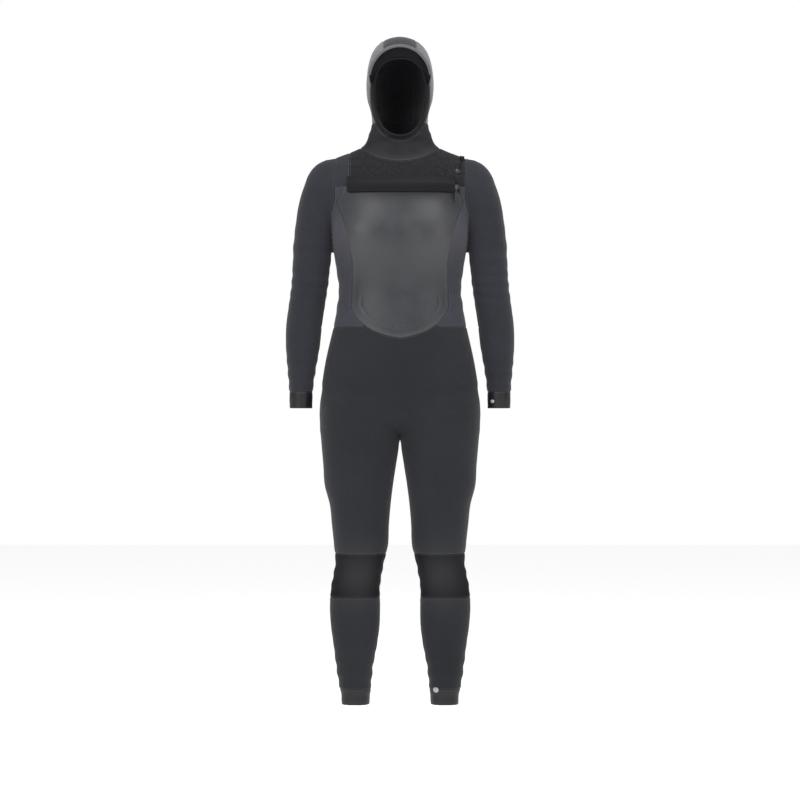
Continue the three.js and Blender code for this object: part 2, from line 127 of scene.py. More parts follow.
# ---------------------------------------------------------------- the body's surface
def smooth_table(table, height):
    """The table's columns at these heights, on smooth curves through its rows."""
    rows = np.array(table, float)
    levels = rows[:, 0]
    slopes = np.gradient(rows[:, 1:], levels, axis=0)
    height = np.clip(height, levels[0], levels[-1])
    above = np.clip(np.searchsorted(levels, height), 1, len(levels) - 1)
    below = above - 1
    span = (levels[above] - levels[below])[:, None]
    t = (height - levels[below])[:, None] / span
    start, end = rows[below, 1:], rows[above, 1:]
    return (
        start * (2 * t**3 - 3 * t**2 + 1)
        + end * (3 * t**2 - 2 * t**3)
        + slopes[below] * span * (t**3 - 2 * t**2 + t)
        + slopes[above] * span * (t**3 - t**2)
    )


def tube(points, table, limb=False):
    """About how far each point is outside a tube with rounded cross-sections, or inside it where negative."""
    x, y, height = points.T
    columns = smooth_table(table, height)
    if limb:
        inner, outer, front, back = columns.T
        x = x - (inner + outer) / 2
        half = (outer - inner) / 2
    else:
        half, front, back = columns.T
    depth = np.where(y < 0, front, back)
    across, along = np.abs(x) / half, np.abs(y) / depth
    level = np.maximum((across**SQUARENESS + along**SQUARENESS) ** (1 / SQUARENESS), 0.02)
    slope = np.hypot((across / level) ** (SQUARENESS - 1) / half, (along / level) ** (SQUARENESS - 1) / depth)
    distance = (level - 1) / np.maximum(slope, 1e-4)
    return np.maximum(distance, np.maximum(height - table[-1][0], table[0][0] - height))


def joined(a, b, blend):
    """Two bodies as one, with a fillet where they meet."""
    t = np.clip(0.5 + 0.5 * (b - a) / blend, 0, 1)
    return b + (a - b) * t - blend * t * (1 - t)


def half_suit(points):
    """The torso and hood with the limbs of the wearer's left side only."""
    torso = tube(points, TORSO)
    for side in (-1, 1):
        offset = (points - (side * BUST["x"], BUST["y"], BUST["height"])) / BUST["size"]
        length = np.linalg.norm(offset, axis=1)
        torso = joined(torso, (length - 1) * min(BUST["size"]), BUST["blend"])
    body = joined(torso, tube(points, HOOD), HOOD_BLEND)
    shoulder = np.clip((points[:, 2] - ARMPIT + 30) / 70, 0, 1)
    blend = UNDERARM_BLEND + shoulder * (SHOULDER_BLEND - UNDERARM_BLEND)
    body = joined(body, tube(points, ARM, limb=True), blend)
    return joined(body, tube(points, LEG, limb=True), LEG_BLEND)


def surface_net(field, low, high, cell):
    """Vertices and quads of the field's zero surface, with one vertex in each grid cell that it passes."""
    axes = [np.arange(a, b + cell, cell) for a, b in zip(low, high)]
    shape = tuple(len(a) for a in axes)
    values = np.empty(shape)
    for k, height in enumerate(axes[2]):
        x, y = np.meshgrid(axes[0], axes[1], indexing="ij")
        layer = np.stack([x.ravel(), y.ravel(), np.full(x.size, height)], axis=1)
        values[:, :, k] = field(layer).reshape(x.shape)
    cells = tuple(n - 1 for n in shape)
    total = np.zeros(cells + (3,))
    count = np.zeros(cells)
    for axis in range(3):
        others = [a for a in range(3) if a != axis]
        for shift in ((0, 0), (0, 1), (1, 0), (1, 1)):
            near = [slice(0, n) for n in cells]
            for other, by in zip(others, shift):
                near[other] = slice(by, by + cells[other])
            far = list(near)
            far[axis] = slice(1, cells[axis] + 1)
            a, b = values[tuple(near)], values[tuple(far)]
            crossing = (a < 0) != (b < 0)
            place = np.zeros(cells + (3,))
            place[..., axis] = np.where(crossing, a / np.where(crossing, a - b, 1), 0)
            for other, by in zip(others, shift):
                place[..., other] = by
            total += place * crossing[..., None]
            count += crossing
    active = count > 0
    number = np.full(cells, -1)
    number[active] = np.arange(active.sum())
    corner = np.stack(np.nonzero(active), axis=1)
    vertices = (corner + total[active] / count[active][:, None]) * cell + np.array([a[0] for a in axes])
    quads = []
    for axis in range(3):
        b, c = (axis + 1) % 3, (axis + 2) % 3
        near = [slice(1, n) for n in cells]
        near[axis] = slice(0, cells[axis])
        far = list(near)
        far[axis] = slice(1, cells[axis] + 1)
        start, end = values[tuple(near)] < 0, values[tuple(far)] < 0
        offset = [1, 1, 1]
        offset[axis] = 0
        for turned, where in ((False, start & ~end), (True, ~start & end)):
            at = np.stack(np.nonzero(where), axis=1) + offset
            ring = []
            for down_b, down_c in ((1, 1), (0, 1), (0, 0), (1, 0)):
                spot = at.copy()
                spot[:, b] -= down_b
                spot[:, c] -= down_c
                ring.append(number[tuple(spot.T)])
            quads.append(np.stack(ring[::-1] if turned else ring, axis=1))
    return vertices, np.concatenate(quads)


def unit(vectors):
    return vectors / np.maximum(np.linalg.norm(vectors, axis=-1, keepdims=True), 1e-12)


def edges_round(faces):
    """The three edges of every triangle, each from its first corner to its second."""
    return np.concatenate([faces[:, [0, 1]], faces[:, [1, 2]], faces[:, [2, 0]]])


def halved(start, end, rounds, still_before):
    """Where each line from start to end stops being before the surface that is looked for."""
    for _ in range(rounds):
        middle = (start + end) / 2
        before = still_before(middle)
        start, end = np.where(before, middle, start), np.where(before, end, middle)
    return start


def field_slope(field, points):
    slope = np.empty_like(points)
    for axis, offset in enumerate(np.eye(3)):
        slope[:, axis] = (field(points + offset) - field(points - offset)) / 2
    return slope


def onto_surface(field, points):
    slope = field_slope(field, points)
    size = np.maximum((slope**2).sum(axis=1), 0.05)
    move = (field(points) / size)[:, None] * slope
    length = np.maximum(np.linalg.norm(move, axis=1, keepdims=True), 1e-9)
    return points - move * np.minimum(1, CELL / length)


def evened(field, vertices, faces, rounds):
    """The vertices spread evenly over the surface."""
    a = faces.ravel()
    b = np.roll(faces, -1, axis=1).ravel()
    near = np.bincount(a, minlength=len(vertices)) + np.bincount(b, minlength=len(vertices))
    for _ in range(rounds):
        total = np.zeros_like(vertices)
        np.add.at(total, a, vertices[b])
        np.add.at(total, b, vertices[a])
        vertices = vertices + 0.6 * (total / near[:, None] - vertices)
        vertices = onto_surface(field, vertices)
    return vertices


def split(vertices, faces, height, inside):
    """The mesh cut along height = 0 where inside is true, with every piece of every cut face kept."""
    edges = np.sort(edges_round(faces), axis=1)
    edges, which = np.unique(edges, axis=0, return_inverse=True)
    height = height.copy()
    a, b = edges.T

    def crossings():
        return inside[a] & inside[b] & (height[a] * height[b] < 0)

    crossing = crossings()
    share = np.where(crossing, height[a] / np.where(crossing, height[a] - height[b], 1), 0.5)
    for ends, close in ((a, share < 0.25), (b, share > 0.75)):
        picked = np.flatnonzero(crossing & close)
        picked = picked[np.unique(ends[picked], return_index=True)[1]]
        spot = vertices[a[picked]] + share[picked, None] * (vertices[b[picked]] - vertices[a[picked]])
        vertices = vertices.copy()
        vertices[ends[picked]] = spot
        height[ends[picked]] = 0
    crossing = crossings()
    share = height[a] / np.where(crossing, height[a] - height[b], 1)
    new = np.full(len(edges), -1)
    new[crossing] = len(vertices) + np.arange(crossing.sum())
    added = vertices[a[crossing]] + share[crossing, None] * (vertices[b[crossing]] - vertices[a[crossing]])
    vertices = np.concatenate([vertices, added])
    cut = new[which.reshape(3, -1).T]
    cuts = (cut >= 0).sum(axis=1)
    kept = [faces[cuts == 0]]
    for turn in range(3):
        face = np.roll(faces, -turn, axis=1)
        first, middle, last = np.roll(cut, -turn, axis=1).T
        two = (first >= 0) & (last >= 0) & (middle < 0)
        p, q = first[two], last[two]
        apex, right, left = face[two].T
        kept += [np.stack(c, axis=1) for c in ((apex, p, q), (p, right, left), (p, left, q))]
        one = (middle >= 0) & (first < 0) & (last < 0)
        p = middle[one]
        apex, right, left = face[one].T
        kept += [np.stack(c, axis=1) for c in ((apex, right, p), (apex, p, left))]
    return vertices, np.concatenate(kept)


def outline_distance(spot, outline):
    """Signed distance of points in a plane from a closed outline: negative inside."""
    best = np.full(len(spot), 1e9)
    inside = np.zeros(len(spot), bool)
    for a, b in zip(outline, np.roll(outline, -1, axis=0)):
        edge = b - a
        t = np.clip(((spot - a) @ edge) / max(edge @ edge, 1e-9), 0, 1)
        best = np.minimum(best, np.linalg.norm(spot - a - t[:, None] * edge, axis=1))
        rising = (a[1] > spot[:, 1]) != (b[1] > spot[:, 1])
        reach = a[0] + (spot[:, 1] - a[1]) * edge[0] / (edge[1] if abs(edge[1]) > 1e-9 else 1e-9)
        inside ^= rising & (spot[:, 0] < reach)
    return np.where(inside, -best, best)


def curve(*segments):
    """Ten points along each of a chain of Bezier segments, which are lists of control points."""
    t = np.linspace(0, 1, 10, endpoint=False)[:, None]
    points = []
    for segment in segments:
        level = [np.array(p, float) + 0 * t for p in segment]
        while len(level) > 1:
            level = [p * (1 - t) + q * t for p, q in zip(level, level[1:])]
        points.append(level[0])
    return np.concatenate(points)


FACE = curve(
    [(0, 1461), (44, 1461), (62, 1510), (62, 1560)],
    [(62, 1560), (62, 1612), (46, 1640), (0, 1640)],
    [(0, 1640), (-46, 1640), (-62, 1612), (-62, 1560)],
    [(-62, 1560), (-62, 1510), (-44, 1461), (0, 1461)],
)
CHEST = curve(
    [(-130, BIB_LOW), (-149, 1308)],
    [(-149, 1308), (-118, 1240), (-111, 1160)],
    [(-111, 1160), (-114, 1062)],
    [(-114, 1062), (-88, 1004), (0, 992)],
    [(0, 992), (88, 1004), (114, 1062)],
    [(114, 1062), (111, 1160)],
    [(111, 1160), (118, 1240), (149, 1308)],
    [(149, 1308), (130, BIB_LOW)],
)


# ---------------------------------------------------------------- seam lines: zero on the seam
def from_face(p):
    return outline_distance(p[:, [0, 2]], FACE)


def from_chest(p):
    return outline_distance(p[:, [0, 2]], CHEST)


def beside_arm(p):
    """How far each point is on the arm's side of the crease under the armpit, or of a line elsewhere."""
    away = np.abs(p[:, 0]) - np.interp(p[:, 2], *zip(*ARM_LINE))
    touching = (p[:, 2] > CREASE[0]) & (p[:, 2] < CREASE[3])
    if touching.any():
        near = p[touching] * 1
        near[:, 0] = np.abs(near[:, 0])
        crease = (tube(near, TORSO) - tube(near, ARM, limb=True)) / 2
        share = np.interp(near[:, 2], CREASE, (0, 1, 1, 0))
        away[touching] += share * (crease - away[touching])
    return away


def between_arm_and_chest(y, height):
    """How far out the plane between the arm and the chest is."""
    chest, arm = np.full(len(y), 120.0), np.full(len(y), 200.0)
    return halved(chest, arm, 24, lambda x: beside_arm(np.column_stack([x, y, height])) < 0)


def above_hood_line(p):
    return p[:, 2] - np.interp(p[:, 1], *zip(*HOOD_LINE))


def above_neck_base(p):
    turn = np.clip((p[:, 1] + 40) / 80, 0, 1)
    turn = turn * turn * (3 - 2 * turn)
    low = 1405 + 19 * turn
    side = 47 - 19 * turn
    return p[:, 2] - low - side * (np.abs(p[:, 0]) / 112) ** 2


def on_arm(p):
    return (beside_arm(p) > -6) & (p[:, 2] < 1440) & (p[:, 2] > 790)


def on_leg(p):
    return (p[:, 2] < 960) & (beside_arm(p) < 6)


def on_trunk(p):
    return (beside_arm(p) < 6) & (above_neck_base(p) < 8) & (p[:, 2] > 940)


def in_front(p):
    return p[:, 1] < FACE_BACK_Y


def torso_rest(p):
    return on_trunk(p) & ~((from_chest(p) < -1) & (p[:, 1] < 0))


def level(height):
    return lambda p: p[:, 2] - height


def behind(depth):
    return lambda p: p[:, 1] - depth


def between(low, high):
    """Points from just below one height to just above another."""
    return lambda p: (p[:, 2] > low - 1) & (p[:, 2] < high + 1)


def about_face(p):
    return in_front(p) & (p[:, 2] > FACE_LOW)


def past_brow(p):
    return (p[:, 1] > CROWN_FRONT_Y) | (p[:, 2] > CROWN_HIGH)


def front_of_leg(p):
    return on_leg(p) & (p[:, 1] < LEG_SEAM_Y + 1)


def front_of_trunk(p):
    return on_trunk(p) & (p[:, 1] < SHOULDER_SEAM_Y + 1)


# Name, how far points are past the seam, where it runs, and whether it shows as a stitched groove
SEAMS = [
    ("face_edge", from_face, about_face, False),
    ("face_band", lambda p: from_face(p) - FACE_BAND, about_face, True),
    ("hood", above_hood_line,
     lambda p: (p[:, 2] > FACE_LOW) & ((from_face(p) > FACE_BAND - 1) | ~in_front(p)), True),
    ("crown", lambda p: np.abs(p[:, 0]) - CROWN_STRIP,
     lambda p: (above_hood_line(p) > -1) & past_brow(p), True),
    ("neck_base", above_neck_base, between(1396, 1464), True),
    ("shoulder", behind(SHOULDER_SEAM_Y),
     lambda p: (p[:, 2] > BIB_LOW) & (above_hood_line(p) < 1) & (beside_arm(p) < 1), True),
    ("armhole", beside_arm, lambda p: p[:, 2] > ARMPIT - 1, True),
    ("underarm", beside_arm, between(1151, ARMPIT), False),
    ("armpit", level(ARMPIT), lambda p: np.abs(beside_arm(p)) < 8, False),
    ("elbow_high", level(ELBOW_HIGH), on_arm, False),
    ("elbow_low", level(ELBOW_LOW), on_arm, False),
    ("wrist_seal", level(WRIST_SEAL_TOP), on_arm, True),
    ("wrist_hem", level(WRIST_HEM), on_arm, False),
    ("chest", from_chest, lambda p: in_front(p) & on_trunk(p) & (p[:, 2] < BIB_LOW - 0.5), True),
    ("chest_border", lambda p: from_chest(p) + 23,
     lambda p: in_front(p) & on_trunk(p) & (p[:, 2] < 1090), True),
    ("bib", level(BIB_LOW), front_of_trunk, False),
    ("yoke", lambda p: p[:, 0] - BIB_RIGHT_X,
     lambda p: front_of_trunk(p) & (p[:, 2] > BIB_LOW - 1) & (p[:, 0] < 0), True),
    ("side_back", behind(SIDE_PANEL_BACK_Y),
     lambda p: on_trunk(p) & between(SIDE_PANEL_LOW, BIB_LOW)(p), True),
    ("side_top", level(BIB_LOW),
     lambda p: on_trunk(p) & (p[:, 1] > SHOULDER_SEAM_Y - 1) & (p[:, 1] < SIDE_PANEL_BACK_Y + 1), False),
    ("side_low", level(SIDE_PANEL_LOW), lambda p: torso_rest(p) & (p[:, 1] < SIDE_PANEL_BACK_Y + 1), True),
    ("back", level(BACK_SEAM), lambda p: on_trunk(p) & (p[:, 1] > SIDE_PANEL_BACK_Y - 1), True),
    ("torso_side", behind(SHOULDER_SEAM_Y), lambda p: on_trunk(p) & (p[:, 2] < SIDE_PANEL_LOW + 1), False),
    ("waist", level(TORSO_LOW), lambda p: beside_arm(p) < 6, False),
    ("middle", lambda p: p[:, 0], lambda p: p[:, 2] < TORSO_LOW + 1, False),
    ("knee_bend_high", level(KNEE_BEND_HIGH), on_leg, False),
    ("knee_bend_low", level(KNEE_BEND_LOW), on_leg, False),
    ("knee_high", level(KNEE_HIGH), front_of_leg, True),
    ("knee_low", level(KNEE_LOW), front_of_leg, True),
    ("knee_side", behind(LEG_SEAM_Y), lambda p: on_leg(p) & between(KNEE_LOW, KNEE_HIGH)(p), True),
    ("ankle_seal", level(ANKLE_SEAL_TOP), on_leg, True),
    ("ankle_hem", level(ANKLE_HEM), on_leg, False),
]


def panel_names(p):
    """The panel that each point is on, or an empty name where an opening is."""
    x, y, height = p.T
    side = np.where(x > 0, "left", "right")
    arm = (beside_arm(p) > 0) & (height < 1450)
    hood = ~arm & (above_hood_line(p) > 0)
    neck = ~arm & ~hood & (above_neck_base(p) > 0)
    leg = ~arm & (height < TORSO_LOW)
    front = y < SHOULDER_SEAM_Y
    face = from_face(p)
    by_face = ~arm & about_face(p)
    rules = [
        (by_face & (face < 0), ""),
        (by_face & (face < FACE_BAND), "face_seal"),
        (hood & (np.abs(x) < CROWN_STRIP) & past_brow(p), "hood_crown_strip"),
        (hood, np.char.add("hood_side_", side)),
        (neck & front, "neck_front"),
        (neck, "neck_back"),
        (arm & (height > ELBOW_HIGH), np.char.add("sleeve_", side)),
        (arm & (height > ELBOW_LOW), np.char.add("elbow_", side)),
        (arm & (height > WRIST_SEAL_TOP), np.char.add("forearm_", side)),
        (arm & (height > WRIST_HEM), np.char.add("wrist_seal_", side)),
        (arm, ""),
        (leg & (height > KNEE_BEND_HIGH), np.char.add("upper_leg_", side)),
        (leg & (height > KNEE_LOW) & (height < KNEE_HIGH) & (y < LEG_SEAM_Y), np.char.add("knee_pad_", side)),
        (leg & (height > KNEE_BEND_LOW), np.char.add("knee_back_", side)),
        (leg & (height > ANKLE_SEAL_TOP), np.char.add("shin_", side)),
        (leg & (height > ANKLE_HEM), np.char.add("ankle_seal_", side)),
        (leg, ""),
        ((y < 0) & (from_chest(p) < 0) & (height < BIB_LOW), "chest_panel"),
        ((height > BIB_LOW) & front & (x < BIB_RIGHT_X), "shoulder_yoke_right"),
        ((height > BIB_LOW) & front, "chest_bib"),
        ((height > SIDE_PANEL_LOW) & (height < BIB_LOW) & (y < SIDE_PANEL_BACK_Y),
         np.char.add("side_panel_", side)),
        (front, "waist_front"),
        (height > BACK_SEAM, "back_upper"),
    ]
    names = np.full(len(p), "back_lower", dtype="U24")
    for where, name in reversed(rules):
        names = np.where(where, name, names)
    return names


def along_band(p, band):
    """How far each point is along a band, outwards from its beginning."""
    (x, height), (outwards, up), _ = band
    return (np.abs(p[:, 0]) - x) * outwards + (p[:, 2] - height) * up


def ripple(p, height, spread, pitch, size, phase):
    """Fine folds across a limb, strongest at one height."""
    wander = 0.9 * np.sin(p[:, 1] / 23 + phase) + 0.7 * np.sin(p[:, 0] / 31 - phase)
    wave = np.sin(2 * np.pi * (p[:, 2] - height) / pitch + wander)
    return size * wave * np.exp(-(((p[:, 2] - height) / spread) ** 2))


def folds(p):
    """How far the neoprene on the wearer stands out or in, where the body bends."""
    x, y, height = p.T
    arm = beside_arm(p) > 0
    leg = ~arm & (height < TORSO_LOW)
    side = np.where(x > 0, 1.0, -1.0)
    out = np.zeros(len(p))
    inner_elbow = 1 / (1 + np.exp(y / 9))
    knee_back = 1 / (1 + np.exp(-(y - 5) / 10))
    # The limb, how strong the folds are round it, then their height, spread, pitch, size and phase
    for limb, share, *fold in (
        (arm, 0.35 + 0.65 * inner_elbow, 1116, 44, 27, 1.1, 0.4 * side),
        (arm, 1, 905, 52, 31, 0.9, 1.1),
        (arm, 1, 1205, 60, 43, 0.7, 2.0),
        (leg, 0.3 + 0.7 * knee_back, 440, 48, 30, 1.7, 0.7 * side),
        (leg, 1, 205, 60, 33, 1.1, 1.9),
    ):
        out += np.where(limb, ripple(p, *fold) * share, 0)
    groin = along_band(p, GROIN_BAND)
    crease = np.exp(-((groin / 9) ** 2)) + 0.6 * np.exp(-(((groin - 26) / 8) ** 2))
    out -= np.where(~arm & (y < 0) & (height < 935), 1.3 * crease * np.clip((120 - np.abs(x)) / 60, 0, 1), 0)
    waist = ~arm & (height > 960) & (height < 1300) & (np.abs(x) > 90)
    out += np.where(waist, ripple(p, 1100, 52, 36, 0.9, 0.3), 0) * np.clip((np.abs(x) - 95) / 30, 0, 1)
    out += 0.35 * np.sin(x / 37 + height / 61) * np.sin(height / 83 - y / 29)
    return out


def vertex_normals(vertices, faces):
    a, b, c = (vertices[faces[:, k]] for k in range(3))
    cross = np.cross(b - a, c - a)
    normals = np.zeros_like(vertices)
    for k in range(3):
        np.add.at(normals, faces[:, k], cross)
    return unit(normals)


def build_surface():
    """The whole suit's outer surface in triangles, cut along the seams, and each triangle's panel."""
    low, high = (-15, -135, 118), (285, 140, 1712)
    vertices, quads = surface_net(half_suit, low, high, CELL)
    for _ in range(2):
        vertices = onto_surface(half_suit, vertices)
    vertices = evened(half_suit, vertices, quads, 3)
    faces = np.concatenate([quads[:, [0, 1, 2]], quads[:, [0, 2, 3]]])
    vertices, faces = split(vertices, faces, vertices[:, 0], np.ones(len(vertices), bool))
    faces = faces[vertices[faces][:, :, 0].mean(axis=1) > 0]
    used, faces = np.unique(faces, return_inverse=True)
    vertices, faces = vertices[used], faces.reshape(-1, 3)
    seamed = np.abs(vertices[:, 0]) < 1e-6
    other = np.where(seamed, np.arange(len(vertices)), 0)
    other[~seamed] = len(vertices) + np.arange((~seamed).sum())
    vertices = np.concatenate([vertices, vertices[~seamed] * (-1, 1, 1)])
    faces = np.concatenate([faces, other[faces][:, ::-1]])
    for _, height, where, shown in SEAMS:
        for offset in (0, -GROOVE_REACH, GROOVE_REACH) if shown else (0,):
            vertices, faces = split(vertices, faces, height(vertices) - offset, where(vertices))
    names = panel_names(vertices[faces].mean(axis=1))
    return vertices, faces[names != ""], names[names != ""]


def seam_depth(vertices):
    """How deep the stitched grooves are at each vertex."""
    depth = np.zeros(len(vertices))
    for _, height, where, shown in SEAMS:
        if shown:
            near = np.clip(1 - np.abs(height(vertices)) / GROOVE_REACH, 0, 1) * where(vertices)
            depth = np.maximum(depth, GROOVE * near**1.5)
    return depth


# ---------------------------------------------------------------- the walls where the arm lies on the chest
def open_chain(faces, own, other, vertices):
    """Vertices in a row along the border between two sets of faces, below the armpit."""
    count = len(vertices)
    edges = edges_round(faces[own])
    back = edges_round(faces[other])[:, ::-1]
    shared = np.isin(edges @ (count, 1), back @ (count, 1))
    low = (vertices[edges][:, :, 2] < ARMPIT + 0.5).all(axis=1)
    after = dict(edges[shared & low].tolist())
    start = next(iter(set(after) - set(after.values())))
    chain = [start]
    while chain[-1] in after:
        chain.append(after[chain[-1]])
    return chain


def fill(outline, spacing):
    """Triangles that fill a plane outline, and the points that they add inside it."""
    low, high = outline.min(axis=0), outline.max(axis=0)
    axes = [np.arange(a, b, spacing) for a, b in zip(low, high)]
    grid = np.stack(np.meshgrid(*axes), axis=-1).reshape(-1, 2)
    inner = grid[outline_distance(grid, outline) < -0.6 * spacing]
    points = [Vector(p) for p in np.concatenate([outline, inner]).tolist()]
    made = delaunay_2d_cdt(points, [], [list(range(len(outline)))], 1, 1e-6)
    source, crossings = [], []
    for place, origin in zip(made[0], made[3]):
        source.append(origin[0] if origin else len(points) + len(crossings))
        if not origin:
            crossings.append(place[:])
    inner = np.concatenate([inner, np.array(crossings).reshape(-1, 2)])
    return inner, np.array([[source[k] for k in face] for face in made[2]])


def add_underarm_walls(vertices, faces, names):
    """The sleeve's and the side panel's faces that lie against each other below the armpit."""
    for label, side in SIDES.items():
        sleeve = names == f"sleeve_{label}"
        chain = open_chain(faces, sleeve, ~sleeve, vertices)
        first, last = vertices[chain[0]], vertices[chain[-1]]
        steps = np.linspace(0, 1, 18)[1:-1, None]
        top = last + steps * (first - last)
        top[:, 0] = side * between_arm_and_chest(top[:, 1], top[:, 2])
        outline = np.concatenate([vertices[chain], top])[:, 1:]
        inner, triangles = fill(outline, 7)
        for panel, outwards in ((f"sleeve_{label}", -side), (f"side_panel_{label}", side)):
            line = side * between_arm_and_chest(*inner.T) - outwards * WALL_GAP
            added = np.concatenate([top, np.column_stack([line, inner])])
            number = np.concatenate([chain, len(vertices) + np.arange(len(added))])
            vertices = np.concatenate([vertices, added])
            wall = number[triangles]
            a, b, c = (vertices[wall[:, k]] for k in range(3))
            facing = np.cross(b - a, c - a)[:, 0] * outwards
            wall = np.where(facing[:, None] > 0, wall, wall[:, ::-1])
            faces = np.concatenate([faces, wall])
            names = np.concatenate([names, np.full(len(wall), panel)])
    return vertices, faces, names


# ---------------------------------------------------------------- materials
def linear(*levels):
    """A colour from its eight-bit screen levels."""
    shares = [v / 255 for v in levels]
    return [v / 12.92 if v <= 0.04045 else ((v + 0.055) / 1.055) ** 2.4 for v in shares] + [1]


def feed(tree, node, inputs):
    """Sets a node's inputs, each to a value, or to a node and the name of its output."""
    for name, value in dict(inputs).items():
        if isinstance(value, tuple) and isinstance(value[0], bpy.types.Node):
            tree.links.new(value[0].outputs[value[1]], node.inputs[name])
        else:
            node.inputs[name].default_value = value
    return node


def add(tree, kind, inputs=(), **settings):
    node = tree.nodes.new("ShaderNode" + kind)
    for name, value in settings.items():
        setattr(node, name, value)
    return feed(tree, node, inputs)


def mixed(tree, kind, share, a, b):
    """Two colours mixed or blended."""
    return add(tree, "Mix", {0: share, 6: a, 7: b}, data_type="RGBA", blend_type=kind)


def ranged(tree, source, low, high, to_low, to_high):
    return add(
        tree, "MapRange",
        {"Value": source, "From Min": low, "From Max": high, "To Min": to_low, "To Max": to_high},
    )


def noise(tree, place, scale, detail, **inputs):
    return add(tree, "TexNoise", {"Vector": place, "Scale": scale, "Detail": detail, **inputs})


def product(tree, a, b):
    return add(tree, "Math", {0: a, 1: b}, operation="MULTIPLY")


def bands(tree, place, direction, scale, **inputs):
    return add(
        tree, "TexWave", {"Vector": place, "Scale": scale, **inputs},
        wave_type="BANDS", bands_direction=direction,
    )


def new_tree(name):
    made = bpy.data.materials.new(name)
    made.use_nodes = True
    tree = made.node_tree
    tree.nodes.clear()
    shader = add(tree, "BsdfPrincipled")
    output = add(tree, "OutputMaterial")
    tree.links.new(shader.outputs["BSDF"], output.inputs["Surface"])
    return made, tree, shader


def cloudy(tree, position, colour, amount):
    """The colour a little lighter and darker in soft patches, as neoprene gets with use."""
    patches = noise(tree, position, 7.0, 3.0, Roughness=0.55)
    light = ranged(tree, (patches, "Fac"), 0.3, 0.7, 1 - amount, 1 + amount)
    tint = add(tree, "CombineColor", {band: (light, "Result") for band in ("Red", "Green", "Blue")})
    return mixed(tree, "MULTIPLY", 1.0, colour, (tint, "Color"))


def edge_shades(tree, colour, seam, wear_and_highlight):
    """Painted shade darkening the seams' grooves with their depth, paler spots where the suit rubs with a
    painted highlight on the chest, and a row of stitches on each side of a seam.
    """
    near_seam = add(tree, "Attribute", attribute_name="seam")
    rubbed_and_lit = add(tree, "Attribute", attribute_name="wear_and_highlight")
    # Painted shade: the seam attribute is the groove's depth, and the colour darkens towards near black with
    # it, by up to the seam amount
    groove_shade = ranged(tree, (near_seam, "Fac"), 0.35, 1.0, 0.0, seam)
    dark = mixed(tree, "MIX", (groove_shade, "Result"), (colour, 2), (0.003, 0.003, 0.004, 1))
    # Paler spots where the suit rubs, and a painted highlight on the chest, both carried by one attribute
    pale = ranged(tree, (rubbed_and_lit, "Fac"), 0.0, 1.0, 0.0, wear_and_highlight)
    worn_and_lit = mixed(tree, "MIX", (pale, "Result"), (dark, 2), (0.12, 0.12, 0.125, 1))
    across = add(tree, "UVMap", uv_map="Cut")
    dashes = bands(tree, (across, "UV"), "DIAGONAL", WAVES / (STITCH / 1000))
    dash = ranged(tree, (dashes, "Fac"), 0.3, 0.45, 0.0, 1.0)
    rising = ranged(tree, (near_seam, "Fac"), 0.3, 0.4, 0.0, 1.0)
    falling = ranged(tree, (near_seam, "Fac"), 0.5, 0.6, 1.0, 0.0)
    row = product(tree, (rising, "Result"), (falling, "Result"))
    thread = product(tree, (row, 0), (dash, "Result"))
    return mixed(tree, "MIX", (thread, 0), (worn_and_lit, 2), linear(*THREAD))


def knit(name, dark, light, flecks=0.0035, contrast=1.0, stitch=0.0016, relief=0.00025, rough=0.85,
         sheen=0.12):
    """Jersey laminated to neoprene: rows of knit loops in yarns of two shades."""
    made, tree, shader = new_tree(name)
    across = (add(tree, "UVMap", uv_map="Cut"), "UV")
    position = (add(tree, "TexCoord"), "Object")
    yarn = noise(tree, across, 1 / flecks, 4.0, Roughness=0.7)
    share = ranged(tree, (yarn, "Fac"), 0.5 - 0.22 / contrast, 0.5 + 0.22 / contrast, 0.0, 1.0)
    colour = mixed(tree, "MIX", (share, "Result"), linear(*dark), linear(*light))
    colour = cloudy(tree, position, (colour, 2), 0.12)
    # Up to 0.55 painted shade in the seam grooves, and up to 0.25 paler at the rubbing spots and the painted
    # chest highlight
    colour = edge_shades(tree, colour, 0.55, 0.25)
    grain = ranged(tree, (yarn, "Fac"), 0.3, 0.7, rough - 0.07, min(1.0, rough + 0.07))
    wales = bands(tree, across, "X", 0.5 / stitch, Distortion=0.6, Detail=1.0)
    courses = bands(tree, across, "Y", 0.35 / stitch, Distortion=1.4, Detail=1.0)
    loops = product(tree, (wales, "Fac"), (courses, "Fac"))
    fuzz = add(tree, "Math", {0: (yarn, "Fac"), 1: 0.8, 2: (loops, 0)}, operation="MULTIPLY_ADD")
    fine = add(tree, "Bump", {"Height": (fuzz, 0), "Strength": 0.6, "Distance": relief})
    slack = noise(tree, position, 55.0, 3.0)
    creased = {"Height": (slack, "Fac"), "Strength": 0.35, "Distance": 0.0012, "Normal": (fine, "Normal")}
    feed(tree, shader, {
        "Base Color": (colour, 2), "Roughness": (grain, "Result"),
        "Normal": (add(tree, "Bump", creased), "Normal"),
        "Specular IOR Level": 0.22, "Sheen Weight": sheen, "Sheen Roughness": 0.5,
    })
    return made


